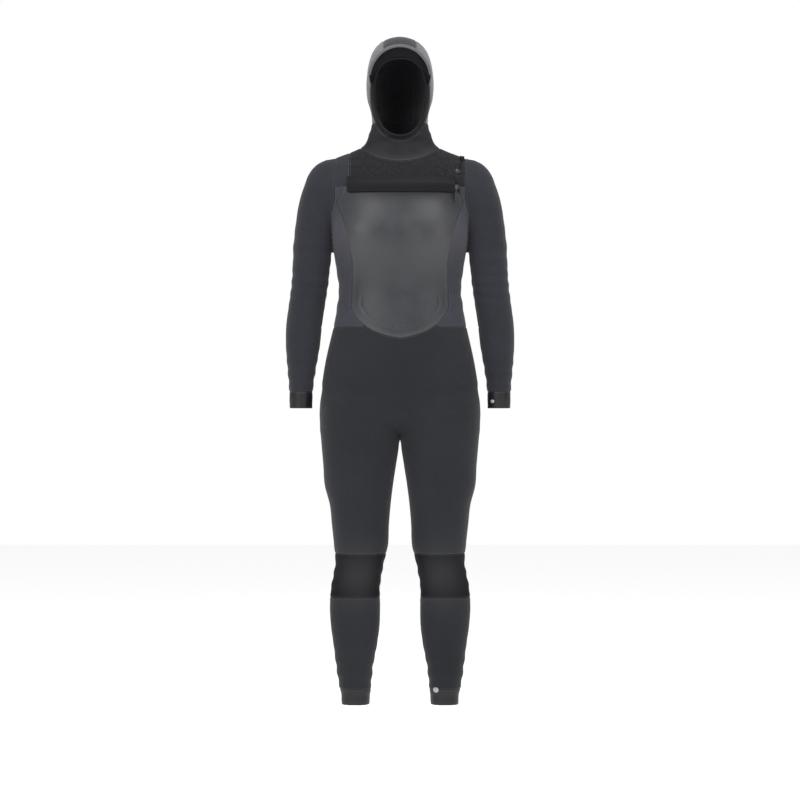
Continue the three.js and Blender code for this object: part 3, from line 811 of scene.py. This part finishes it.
def skin(name, dark, light, emboss=0.0024, relief=0.00022, rough=0.46, specular=0.4, cloud=0.08):
    """Smooth-skinned neoprene with a fine embossed grain, slightly glossy."""
    made, tree, shader = new_tree(name)
    across = (add(tree, "UVMap", uv_map="Cut"), "UV")
    position = (add(tree, "TexCoord"), "Object")
    patches = noise(tree, position, 24.0, 5.0, Roughness=0.6)
    share = ranged(tree, (patches, "Fac"), 0.32, 0.68, 0.0, 1.0)
    colour = mixed(tree, "MIX", (share, "Result"), linear(*dark), linear(*light))
    colour = cloudy(tree, position, (colour, 2), cloud)
    # Up to 0.5 painted shade in the seam grooves, and up to 0.2 paler at the rubbing spots and the painted
    # chest highlight
    colour = edge_shades(tree, colour, 0.5, 0.2)
    smears = ranged(tree, (patches, "Fac"), 0.3, 0.7, rough - 0.07, rough + 0.07)
    cells = add(tree, "TexVoronoi", {"Vector": across, "Scale": 1 / emboss, "Randomness": 0.35})
    fine = add(tree, "Bump", {"Height": (cells, "Distance"), "Strength": 0.5, "Distance": relief})
    slack = noise(tree, position, 38.0, 2.0)
    creased = {"Height": (slack, "Fac"), "Strength": 0.3, "Distance": 0.0011, "Normal": (fine, "Normal")}
    feed(tree, shader, {
        "Base Color": (colour, 2), "Roughness": (smears, "Result"),
        "Normal": (add(tree, "Bump", creased), "Normal"),
        "Specular IOR Level": specular,
    })
    return made


def hard(name, dark, light, rough, metallic, scratch=0.08):
    """Moulded plastic or cast metal with fine scratches and a slightly mottled surface."""
    made, tree, shader = new_tree(name)
    position = (add(tree, "TexCoord"), "Object")
    mottle = noise(tree, position, 420.0, 4.0)
    share = ranged(tree, (mottle, "Fac"), 0.35, 0.65, 0.0, 1.0)
    colour = mixed(tree, "MIX", (share, "Result"), linear(*dark), linear(*light))
    streaks = noise(tree, position, 1500.0, 2.0, Distortion=1.5)
    polish = ranged(tree, (streaks, "Fac"), 0.35, 0.65, rough - scratch, rough + scratch)
    fine = add(tree, "Bump", {"Height": (streaks, "Fac"), "Strength": 0.3, "Distance": 0.0001})
    feed(tree, shader, {
        "Base Color": (colour, 2), "Roughness": (polish, "Result"), "Normal": (fine, "Normal"),
        "Metallic": metallic,
    })
    return made


# Finish: how it is made, its darker and lighter screen levels, and what sets it apart
RECIPES = {
    "hood_knit": (knit, (27, 28, 32), (60, 60, 64), {"contrast": 1.5, "rough": 0.9, "sheen": 0.25}),
    "hood_side_knit": (knit, (78, 78, 80), (132, 132, 134), {"contrast": 1.3, "rough": 0.9, "sheen": 0.25}),
    "neck_knit": (skin, (28, 27, 32), (38, 37, 42), {"rough": 0.55, "specular": 0.22}),
    "bib_knit": (
        knit, (9, 9, 12), (34, 34, 39), {"sheen": 0.08, "flecks": 0.007, "contrast": 1.8, "relief": 0.0004},
    ),
    "smooth_skin": (skin, (15, 15, 19), (23, 23, 28), {"rough": 0.6, "specular": 0.18}),
    "chest_skin": (skin, (45, 46, 50), (51, 52, 56), {"rough": 0.44, "specular": 0.5, "cloud": 0.035}),
    "side_knit": (knit, (45, 45, 55), (62, 62, 72), {"rough": 0.8, "sheen": 0.15}),
    "sleeve_knit": (knit, (30, 31, 37), (48, 49, 56), {}),
    "body_knit": (knit, (27, 28, 32), (42, 43, 48), {}),
    "knee_panel": (
        skin, (11, 11, 14), (19, 19, 23),
        {"emboss": 0.0042, "relief": 0.0005, "rough": 0.66, "specular": 0.1},
    ),
    "cuff_skin": (skin, (20, 20, 23), (28, 28, 31), {"rough": 0.5}),
    "zip_tape": (knit, (14, 14, 16), (26, 26, 28), {"flecks": 0.001, "stitch": 0.001}),
    "zip_plastic": (hard, (20, 20, 22), (34, 34, 36), {"rough": 0.38, "metallic": 0.0}),
    "metal": (hard, (74, 76, 80), (98, 100, 104), {"rough": 0.36, "metallic": 0.9}),
    # The brim's rolled front edge: lighter than the hood, a painted highlight along the edge
    "brim_edge": (knit, (84, 86, 88), (110, 112, 114), {"flecks": 0.002, "rough": 0.8, "sheen": 0.3}),
    "mark": (skin, (150, 152, 154), (182, 184, 186), {"rough": 0.5}),
    "lining": (
        knit, (30, 31, 35), (52, 53, 58), {"flecks": 0.005, "relief": 0.0006, "rough": 0.95, "sheen": 0.3},
    ),
    "foam": (knit, (12, 12, 13), (20, 20, 22), {"flecks": 0.0012, "rough": 0.9}),
}
FINISHES = {name: make(name, dark, light, **rest) for name, (make, dark, light, rest) in RECIPES.items()}


# ---------------------------------------------------------------- panels
def round_tube(points):
    """For each point, the middle of the limb or trunk that it is on, and that tube's mean radius."""
    x, y, height = points.T
    middle = np.zeros(len(points))
    radius = np.where(height > 1450, 85.0, 150.0)
    for table, where, mean in ((ARM, beside_arm(points) > 0, 46.0), (LEG, height < 800, 72.0)):
        columns = smooth_table(table, height)
        middle = np.where(where, np.sign(x) * (columns[:, 0] + columns[:, 1]) / 2, middle)
        radius = np.where(where, mean, radius)
    return middle, radius


def cut_map(points, triangles):
    """Where each corner of each triangle lies on the flat cloth, in metres: round the tube, and up."""
    middle, radius = round_tube(points)
    angle = np.arctan2(points[:, 0] - middle, -points[:, 1])[triangles]
    wrapped = (np.ptp(angle, axis=1) > math.pi)[:, None] & (angle < 0)
    angle = np.where(wrapped, angle + math.tau, angle)
    round_it = angle * radius[triangles].mean(axis=1)[:, None]
    return np.stack([round_it, points[triangles][:, :, 2]], axis=2) / 1000


def placed(name, data):
    """A new object in the scene."""
    made = bpy.data.objects.new(name, data)
    bpy.context.scene.collection.objects.link(made)
    return made


def in_metres(points):
    return (np.asarray(points, float) - (0, 0, NECK_BASE)) / 1000


def rubbed_and_lit(points):
    """How much paler each point is made: most at the knees, elbows and seat where the suit rubs, with a
    painted highlight on the chest beside the bust and a paler line just inside the chest panel's border.
    """
    x, y, height = points.T
    # Knee, elbow and seat spots where the suit rubs, then a painted highlight on the chest beside the bust:
    # x, depth, height, reach
    spots = [(96, -60, 440, 60), (212, 45, 1110, 45), (90, 118, 850, 80), (96, -95, 1235, 60)]
    worn_and_lit = np.zeros(len(points))
    for spot_x, spot_y, spot_height, reach in spots:
        away = (np.abs(x) - spot_x) ** 2 + (y - spot_y) ** 2 + (height - spot_height) ** 2
        worn_and_lit = np.maximum(worn_and_lit, np.exp(-away / reach**2))
    # A paler line just inside the chest panel's border
    inside_chest = from_chest(points) * ((y < 0) & (height < BIB_LOW + 1))
    return np.maximum(worn_and_lit, 0.9 * np.exp(-(((inside_chest + 5) / 3) ** 2)))


def make_panel(name, points, normals, triangles, seam, worn_and_lit, thickness, finish):
    """A closed sheet: the outer face, the lining inside it and the cut edge between them."""
    used, local = np.unique(triangles, return_inverse=True)
    local = local.reshape(-1, 3)
    outer, out = points[used], normals[used]
    count = len(used)
    edges = edges_round(local)
    code, back = edges @ (count, 1), edges[:, ::-1] @ (count, 1)
    border = edges[~np.isin(code, back)]
    a, b = border.T
    rim = np.concatenate([np.stack([b, a, a + count], axis=1), np.stack([b, a + count, b + count], axis=1)])
    faces = np.concatenate([local, local[:, ::-1] + count, rim])
    everywhere = np.concatenate([outer, outer - out * thickness])
    mesh = bpy.data.meshes.new(name)
    mesh.from_pydata(in_metres(everywhere).tolist(), [], faces.tolist())
    kinds = np.repeat([0, 1, 2], [len(local), len(local), len(rim)])
    mesh.polygons.foreach_set("material_index", kinds.astype(np.int32))
    mesh.polygons.foreach_set("use_smooth", np.ones(len(faces), bool))
    places = cut_map(everywhere, faces)
    mesh.uv_layers.new(name="Cut").data.foreach_set("uv", places.astype(np.float32).ravel())
    # The second attribute holds the paler spots where the suit rubs and the painted chest highlight
    for attribute, values in (("seam", seam[used]), ("wear_and_highlight", worn_and_lit[used])):
        layer = mesh.attributes.new(attribute, "FLOAT", "POINT")
        layer.data.foreach_set("value", np.tile(values, 2).astype(np.float32))
    corner = np.concatenate([out[local], -out[local[:, ::-1]], np.zeros((len(rim), 3, 3))])
    p, q, r = (everywhere[rim[:, k]] for k in range(3))
    corner[2 * len(local):] = unit(np.cross(q - p, r - p))[:, None]
    mesh.normals_split_custom_set(corner.reshape(-1, 3).tolist())
    for material in (finish, FINISHES["lining"], FINISHES["foam"]):
        mesh.materials.append(material)
    return placed(name + "_sewn", mesh)


def bend(piece):
    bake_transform(piece)


# Panel: its finish, the cut's width and length in mm, and the share of that rectangle that it fills
CENTRE_CUTS = {
    "face_seal": ("smooth_skin", (60, 500), 0.33),
    "hood_crown_strip": ("hood_knit", (80, 420), 0.9),
    "neck_front": ("neck_knit", (250, 110), 0.63),
    "neck_back": ("neck_knit", (230, 90), 0.75),
    "chest_panel": ("chest_skin", (315, 365), 0.75),
    "chest_bib": ("bib_knit", (300, 130), 0.71),
    "shoulder_yoke_right": ("sleeve_knit", (42, 130), 0.85),
    "waist_front": ("body_knit", (450, 72), 0.9),
    "back_upper": ("body_knit", (360, 265), 0.86),
    "back_lower": ("body_knit", (400, 255), 0.82),
}
SIDE_CUTS = {
    "hood_side": ("hood_side_knit", (215, 205), 0.68),
    "side_panel": ("side_knit", (170, 330), 0.7),
    "sleeve": ("sleeve_knit", (330, 270), 0.8),
    "elbow": ("sleeve_knit", (280, 126), 0.95),
    "forearm": ("sleeve_knit", (250, 186), 0.9),
    "wrist_seal": ("cuff_skin", (175, 40), 0.9),
    "upper_leg": ("body_knit", (580, 455), 0.83),
    "knee_pad": ("knee_panel", (205, 105), 0.96),
    "knee_back": ("body_knit", (390, 136), 0.56),
    "shin": ("body_knit", (370, 204), 0.9),
    "ankle_seal": ("cuff_skin", (240, 38), 0.9),
}
# The CAD nodes of panels, where they have other names
CUT_NODES = {"sleeve": ["shoulder_cap", "upper_sleeve"], "upper_leg": ["hip_front", "hip_back", "thigh"]}
SIDE_BODIES = {"forearm": "forearm", "wrist_seal": "forearm", "shin": "shin", "ankle_seal": "shin"}
ON_ARM = ("sleeve", "elbow", "forearm", "wrist_seal")
ON_HOOD = ("face_seal", "hood_crown_strip", "neck_front", "neck_back", "hood_side")


def follow(piece, cut, label):
    """The piece rides on its body, or keeps its place with its transform baked in where it lies on the hood
    or crosses a joint.
    """
    if cut in ON_HOOD:
        bend(piece)
    elif cut == "sleeve":
        bend(piece)
    elif cut == "elbow":
        bend(piece)
    elif cut == "upper_leg":
        bend(piece)
    elif cut in ("knee_pad", "knee_back"):
        bend(piece)
    else:
        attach(piece, f"{SIDE_BODIES[cut]}_{label}" if cut in SIDE_BODIES else "torso")


def sew_suit():
    flat, faces, names = build_surface()
    flat_normals = vertex_normals(flat, faces)
    seam = seam_depth(flat) / GROOVE
    shaped = flat + flat_normals * (folds(flat) - GROOVE * seam)[:, None]
    shaped, faces, names = add_underarm_walls(shaped, faces, names)
    added = len(shaped) - len(flat)
    seam = np.concatenate([seam, np.zeros(added)])
    # Paler spots where the suit rubs, together with a painted highlight on the chest
    worn_and_lit = rubbed_and_lit(shaped)
    on_sleeve = np.isin(names, [f"{cut}_{label}" for cut in ON_ARM[:3] for label in SIDES])
    arm_normals = vertex_normals(shaped, faces[on_sleeve | np.char.startswith(names, "wrist")])
    rest_normals = vertex_normals(shaped, faces[~on_sleeve])
    cuts = [(cut, "", spec) for cut, spec in CENTRE_CUTS.items()]
    cuts += [(cut, label, spec) for cut, spec in SIDE_CUTS.items() for label in SIDES]
    for cut, label, (finish, (width, length), share) in cuts:
        ending = f"_{label}" if label else ""
        nodes = CUT_NODES.get(cut, [cut])
        own = faces[names == cut + ending]
        normals = arm_normals if cut in ON_ARM else rest_normals
        piece = make_panel(cut + ending, shaped, normals, own, seam, worn_and_lit, NEOPRENE, FINISHES[finish])
        follow(piece, cut, label)
        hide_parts(*[node + ending for node in nodes])
        if cut == "upper_leg" and label == "left":
            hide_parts("crotch_gusset")


# ---------------------------------------------------------------- pieces on the suit
ZIP = {"radius": 394, "axis_y": 296, "height": 1343, "from": -17.5, "to": 20.5, "tape": 11, "pitch": 3.0}
FLAP_ENDS = (-17.8, 18.4)  # degrees round the zip's arc
FLAP_PROFILE = [  # lift off the zip's arc, height: out along the face, round the hem and back
    (1.5, 1361.8), (4.2, 1362.4), (7.2, 1361.8), (9.2, 1359.6), (9.9, 1357.2), (9.5, 1356.4), (10.1, 1355.4),
    (10.4, 1349), (10.3, 1341), (9.9, 1336.4), (9.4, 1335.6), (9.7, 1334.6), (9.6, 1332.2), (8.9, 1331),
    (8.1, 1331.1), (7.9, 1333), (8.0, 1342), (8.0, 1352), (7.4, 1357), (6.0, 1359.2), (3.8, 1359.8),
    (1.5, 1359.8),
]
SLIDER_ANGLE = 19
SNAP = {"x": 134, "height": 1381}
MARKS = {"ankle_mark": (84, 172, 6.2, "shin_left"), "wrist_mark": (216, 846, 4.0, "forearm_left")}
ENTRY_EDGE = [(147, 1414), (144, 1406), (140, 1396), (137, 1386), (135, 1376)]
BRIM = {"from": 6, "to": 174, "thick": 4.2}
FRONT_SEARCH = (-5.0, -170.0)  # depths inside the suit and in front of it


def on_arc(angle, lift, height):
    """Points on the zip's arc: degrees round it from straight ahead, lift off the chest, height."""
    angle, lift, height = np.broadcast_arrays(np.radians(angle), lift, height)
    reach = ZIP["radius"] + lift
    return np.stack([reach * np.sin(angle), ZIP["axis_y"] - reach * np.cos(angle), height], axis=-1)


def on_front(x, height, lift):
    """Points on the front of the worn suit, lifted off it."""
    x, height = np.broadcast_arrays(np.asarray(x, float), np.asarray(height, float))

    def at(depth):
        return np.column_stack([np.abs(x.ravel()), depth, height.ravel()])

    inner, outer = (np.full(x.size, depth) for depth in FRONT_SEARCH)
    points = at(halved(inner, outer, 40, lambda depth: half_suit(at(depth)) < 0))
    out = unit(field_slope(half_suit, points))
    points = points + out * (folds(points) + np.broadcast_to(lift, x.shape).ravel())[:, None]
    points[:, 0] *= np.where(x.ravel() < 0, -1, 1)
    return points.reshape(x.shape + (3,))


def make_piece(name, points, faces, finish, body, nodes=(), smooth=True, crease=40, kinds=None, more=()):
    """A mesh that rides on a body."""
    mesh = bpy.data.meshes.new(name)
    mesh.from_pydata(in_metres(points).tolist(), [], [list(face) for face in faces])
    mesh.materials.append(FINISHES[finish])
    for other in more:
        mesh.materials.append(FINISHES[other])
    if kinds is not None:
        mesh.polygons.foreach_set("material_index", np.asarray(kinds, np.int32))
    spots = np.asarray(points, float)
    corners = np.array([v for face in faces for v in face])
    flat_places = np.column_stack([spots[corners, 0] + spots[corners, 1] * 0.5, spots[corners, 2]]) / 1000
    mesh.uv_layers.new(name="Cut").data.foreach_set("uv", flat_places.astype(np.float32).ravel())
    piece = placed(name + "_fitted", mesh)
    if smooth:
        mesh.polygons.foreach_set("use_smooth", np.ones(len(faces), bool))
        mesh.set_sharp_from_angle(angle=math.radians(crease))
    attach(piece, body)
    if nodes:
        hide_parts(*nodes)
    return piece


def tube_faces(rings, around, closed=False):
    """Quads round a row of rings, with a face on each end unless the row closes on itself."""
    faces = []
    for i in range(rings if closed else rings - 1):
        j = (i + 1) % rings
        for k in range(around):
            m = (k + 1) % around
            faces.append((i * around + k, i * around + m, j * around + m, j * around + k))
    if not closed:
        faces.append(tuple(reversed(range(around))))
        faces.append(tuple(range((rings - 1) * around, rings * around)))
    return faces


def arc_sweep(name, profile, ends, steps, finish, nodes):
    lift, height = np.array(profile, float).T
    rings = [on_arc(angle, lift, height) for angle in np.linspace(*ends, steps)]
    faces = tube_faces(steps, len(profile))
    return make_piece(name, np.concatenate(rings), [face[::-1] for face in faces], finish, "torso", nodes)


def make_zip():
    middle, half = ZIP["height"], 3.0
    for name, way in (("zip_tape_upper", 1), ("zip_tape_lower", -1)):
        edge, end = middle + way * (half + 0.3), middle + way * (half + ZIP["tape"])
        steps = np.linspace(edge, end, 7)
        ribs = 0.12 * (np.arange(7) % 2)
        profile = [(2.9 + r, h) for r, h in zip(ribs, steps)] + [(2.1, h) for h in steps[::-1]]
        if way < 0:
            profile = profile[::-1]
        tape = arc_sweep(name, profile, (ZIP["from"], ZIP["to"]), 60, "zip_tape", [name])
    points, faces = [], []
    pitch = math.degrees(ZIP["pitch"] / ZIP["radius"])
    for row, way in ((0, 1), (0.5, -1)):
        for angle in np.arange(ZIP["from"] + 0.7 + row * pitch, ZIP["to"] - 0.7, pitch):
            ring = []
            for reach, wide in ((2.9, 0.13), (0.9, 0.12), (-0.2, 0.17), (-1.1, 0.1)):
                for turn, lift in ((-wide, 2.1), (wide, 2.1), (wide, 3.8), (-wide, 3.8)):
                    ring.append(on_arc(angle + turn, lift, middle + way * reach))
            faces += [tuple(len(points) + k for k in face) for face in tube_faces(4, 4)]
            points += ring
    make_piece("zip_chain", np.array(points), faces, "zip_plastic", "torso", ["zip_chain"], smooth=False)
    outline = [(2.1, -2.9), (4.4, -2.9), (5.1, -2.2), (5.1, 2.2), (4.4, 2.9), (2.1, 2.9)]
    block = [(lift, middle + up) for lift, up in outline]
    for name, ends in (("zip_stop_open", (-17.5, -17.1)), ("zip_stop_closed", (20.1, 20.5))):
        arc_sweep(name, block, ends, 4, "zip_plastic", [name])
    lift, height = np.array(FLAP_PROFILE, float).T
    rings = np.stack([on_arc(angle, lift, height) for angle in np.linspace(*FLAP_ENDS, 80)])
    sewn = np.clip((height - 1350) / 11, 0, 1) ** 1.5
    above = height + 5 * sewn
    lying = on_front(rings[:, :, 0], np.broadcast_to(above, rings.shape[:2]), 0.0)
    lying[:, :, 1] -= np.where(np.arange(len(height)) < len(height) // 2, 1.6, 0.0)
    rings += sewn[None, :, None] * (lying - rings)
    faces = [face[::-1] for face in tube_faces(80, len(height))]
    flap = make_piece(
        "zip_cover_flap", rings.reshape(-1, 3), faces, "smooth_skin", "torso", ["zip_cover_flap"],
    )
    x, height = np.meshgrid(np.linspace(BIB_RIGHT_X, 132, 50), np.linspace(1322, 1372, 11), indexing="ij")
    sheets = [on_front(x, height, -6.2).reshape(-1, 3), on_front(x, height, -8.0).reshape(-1, 3)]
    faces = grid_shell(50, 11)
    storm = make_piece("storm_flap", np.concatenate(sheets), faces, "zip_tape", "torso", ["storm_flap"])


def grid_shell(across, up):
    """Faces of two like grids of points, front then back, closed round their edges."""
    count = across * up
    faces = []
    for i in range(across - 1):
        for k in range(up - 1):
            a, b = i * up + k, (i + 1) * up + k
            faces.append((a, b, b + 1, a + 1))
            faces.append((a + 1 + count, b + 1 + count, b + count, a + count))
    round_edge = [i * up for i in range(across)] + [(across - 1) * up + k for k in range(1, up)]
    round_edge += [i * up + up - 1 for i in range(across - 2, -1, -1)] + [k for k in range(up - 2, 0, -1)]
    for a, b in zip(round_edge, round_edge[1:] + round_edge[:1]):
        faces.append((b, a, a + count, b + count))
    return faces


def blocks_piece(name, blocks, finish, body, nodes):
    """Bevelled blocks in the slider's own directions: along the chain, lift and height."""
    shape = bmesh.new()
    for low, high, bevel in blocks:
        made = bmesh.ops.create_cube(shape, size=1)
        for vertex in made["verts"]:
            share = [c + 0.5 for c in vertex.co]
            vertex.co = [a + (b - a) * t for a, b, t in zip(low, high, share)]
        edges = {edge for vertex in made["verts"] for edge in vertex.link_edges}
        bmesh.ops.bevel(shape, geom=list(edges), offset=bevel, segments=3, affect="EDGES", profile=0.5)
    shape.verts.index_update()
    local = np.array([v.co for v in shape.verts])
    faces = [tuple(v.index for v in face.verts) for face in shape.faces]
    shape.free()
    angle = SLIDER_ANGLE + np.degrees(local[:, 0] / ZIP["radius"])
    return make_piece(name, on_arc(angle, local[:, 1], local[:, 2]), faces, finish, body, nodes, crease=50)


def make_slider():
    middle = ZIP["height"]
    blocks_piece(
        "zip_slider",
        [
            ((-6.4, 4.4, middle - 4.4), (6.4, 5.9, middle + 4.4), 0.7),
            ((-4.6, 5.5, middle - 3.0), (3.6, 6.5, middle + 3.0), 0.45),
            ((-5.0, 6.0, middle - 1.2), (5.0, 7.3, middle + 1.2), 0.5),
            ((-2.4, 5.7, middle - 6.9), (2.4, 7.3, middle - 4.0), 0.5),
        ],
        "metal", "zip_slider", ["zip_slider"],
    )
    top = middle - 7.7
    ribs = [((-2.6, 5.55, top - 12.5 - 2.6 * k), (2.6, 7.05, top - 11.4 - 2.6 * k), 0.3) for k in range(4)]
    blocks_piece(
        "zip_pull",
        [
            ((-3.4, 5.65, top - 25.8), (3.4, 6.95, top - 5.0), 0.6),
            ((-2.3, 5.7, top - 6.0), (2.3, 6.9, top), 0.55),
            *ribs,
        ],
        "zip_plastic", "zip_pull", ["zip_pull"],
    )


def make_snap():
    """The toggle beside the flap: a dished cap on a ring, on a short webbing tab."""
    centre = on_front([SNAP["x"]], [SNAP["height"]], 0.3)[0]
    near = on_front([SNAP["x"] + 2.0, SNAP["x"]], [SNAP["height"], SNAP["height"] + 2.0], 0.3)
    right, up = near - centre
    right = unit(right)
    out = unit(np.cross(right, up))
    out = -out if out[1] > 0 else out
    up = np.cross(out, right)
    profile = [
        (0.01, 2.1), (1.6, 2.0), (3.0, 2.6), (4.4, 2.7), (5.4, 2.1), (5.6, 1.2), (6.2, 0.9), (6.2, 0.1),
        (0.01, 0.1),
    ]
    around = 28
    turns = np.linspace(0, math.tau, around, endpoint=False)
    rings = [centre + out * lift + reach * (np.cos(turns)[:, None] * right + np.sin(turns)[:, None] * up)
             for reach, lift in profile]
    faces = tube_faces(len(profile), around)
    make_piece("flap_snap", np.concatenate(rings), faces, "metal", "torso", ["flap_snap"])
    path = np.array(ENTRY_EDGE, float)
    fine = np.linspace(0, len(path) - 1, 30)
    x, height = (np.interp(fine, np.arange(len(path)), column) for column in path.T)
    cord_piece("entry_edge", on_front(x, height, 0.4), 1.5, "smooth_skin", "torso")
    rows = np.linspace(0, 1, 9)
    x, height = np.meshgrid(140 + 10 * rows, 1409 + 10 * rows, indexing="ij")
    tab = [on_front(x, height, 2.6).reshape(-1, 3), on_front(x, height, 0.5).reshape(-1, 3)]
    make_piece("entry_tab", np.concatenate(tab), grid_shell(9, 9), "smooth_skin", "torso")


def cord_piece(name, path, radius, finish, body):
    """A round rolled edge along a path."""
    along = unit(np.gradient(path, axis=0))
    side = unit(np.cross(along, (0, 0, 1.0)))
    up = np.cross(side, along)
    turns = np.linspace(0, math.tau, 12, endpoint=False)[None, :, None]
    rings = path[:, None] + radius * (np.cos(turns) * side[:, None] + np.sin(turns) * up[:, None])
    make_piece(name, rings.reshape(-1, 3), tube_faces(len(path), 12), finish, body)


def make_marks():
    for name, (x, height, radius, body) in MARKS.items():
        reach = np.linspace(0.02, 1, 7) * radius
        turns = np.linspace(0, math.tau, 32, endpoint=False)
        spots = [(x + r * np.cos(turns), height + r * np.sin(turns)) for r in reach]
        front = [on_front(a, b, 0.75 - 0.35 * (k == 6)) for k, (a, b) in enumerate(spots)]
        back = [on_front(a, b, 0.15) for a, b in spots[::-1]]
        rings = np.concatenate(front + back)
        make_piece(name, rings, tube_faces(14, 32), "mark", body, [name])


def make_brim():
    """The hood's short visor: a curved sheet from the face edge forward and up, with a rolled front edge."""
    turns = np.radians(np.linspace(BRIM["from"], BRIM["to"], 61))
    root = on_front(66 * np.cos(turns), 1574 + 70 * np.sin(turns), 1.0)
    fore = np.column_stack([
        71 * np.cos(turns), -66 - 54 * np.sin(turns) ** 0.7, 1591 + 72 * np.sin(turns),
    ])
    out = np.column_stack([np.cos(turns), 0 * turns, np.sin(turns)])
    reach = np.linspace(0, 1, 9)[None, :, None]
    sheet = root[:, None] * (1 - reach) + fore[:, None] * reach + out[:, None] * 5 * reach * (1 - reach)
    across = np.gradient(sheet, axis=1)
    along = np.gradient(sheet, axis=0)
    normal = unit(np.cross(across, along))
    normal *= np.where((normal * out[:, None]).sum(axis=2, keepdims=True) < 0, -1, 1)
    half = BRIM["thick"] / 2
    upper, lower = sheet + normal * half, sheet - normal * half
    nose = fore + unit(fore - root) * half
    loops = np.concatenate([upper, nose[:, None], lower[:, ::-1]], axis=1)
    faces = tube_faces(61, loops.shape[1])
    # The underside is in the darker smooth skin, which paints the shade under the brim
    under = [1 if k % loops.shape[1] > 8 else 0 for k in range(len(faces) - 2)] + [0, 0]
    brim = make_piece(
        "hood_brim", loops.reshape(-1, 3), faces, "hood_knit", "hood", ["hood_brim"], kinds=under,
        more=["smooth_skin"],
    )
    # The rolled front edge, in a lighter knit that paints the highlight along it
    cord_piece("hood_brim_edge", nose[1:-1], 3.4, "brim_edge", "hood")


# ---------------------------------------------------------------- stage
CAMERA = {"height": 849, "away": 6.0, "lens": 115.0}
FLOOR_GLOW = 0.58  # keeps the pale floor as light as the backdrop far from the lamps
SKY_LIGHT = 0.4  # the backdrop is white to the eye, and lights the suit less than that
FLOOR_REACH = 9.0
LIGHTS = [  # name, place, what it points at, width and length, watts
    ("overhead", (0.2, -1.2, 2.6), (0, 0, -0.4), (3.0, 2.4), 84),
    ("front_right", (-2.2, -3.6, 0.9), (0, 0, -0.5), (1.8, 2.6), 46),
    ("front_left", (2.4, -3.4, 0.7), (0, 0, -0.5), (1.8, 2.6), 22),
]


def make_stage():
    mesh = bpy.data.meshes.new("floor")
    low = -NECK_BASE / 1000
    ways = [(-1, -1), (1, -1), (1, 1), (-1, 1)]
    mesh.from_pydata([(x * FLOOR_REACH, y * FLOOR_REACH, low) for x, y in ways], [], [(0, 1, 2, 3)])
    floor = placed("floor", mesh)
    made, tree, shader = new_tree("floor")
    feed(tree, shader, {
        "Base Color": [0.86, 0.86, 0.86, 1], "Roughness": 0.9, "Specular IOR Level": 0.1,
        "Emission Color": [1, 1, 1, 1], "Emission Strength": FLOOR_GLOW,
    })
    mesh.materials.append(made)
    world = bpy.data.worlds.new("studio")
    bpy.context.scene.world = world
    world.use_nodes = True
    tree = world.node_tree
    seen = add(tree, "LightPath")
    strength = ranged(tree, (seen, "Is Camera Ray"), 0.0, 1.0, SKY_LIGHT, 1.0)
    feed(tree, tree.nodes["Background"], {"Color": [1, 1, 1, 1], "Strength": (strength, "Result")})
    bpy.context.scene.view_settings.view_transform = "Standard"


def make_light(name, place, target, size, power):
    lamp = bpy.data.lights.new(name, "AREA")
    lamp.shape, lamp.size, lamp.size_y, lamp.energy = "RECTANGLE", size[0], size[1], power
    light = placed(name, lamp)
    light.location = place
    light.rotation_euler = (Vector(target) - Vector(place)).to_track_quat("-Z", "Y").to_euler()


def make_camera():
    eye = bpy.data.cameras.new("camera")
    eye.lens, eye.sensor_width = CAMERA["lens"], 36.0
    camera = placed("camera", eye)
    camera.location = (0, -CAMERA["away"], (CAMERA["height"] - NECK_BASE) / 1000)
    camera.rotation_euler = (math.pi / 2, 0, 0)
    bpy.context.scene.camera = camera


sew_suit()
make_zip()
make_slider()
make_snap()
make_marks()
make_brim()
make_stage()
for lamp in LIGHTS:
    make_light(*lamp)
make_camera()
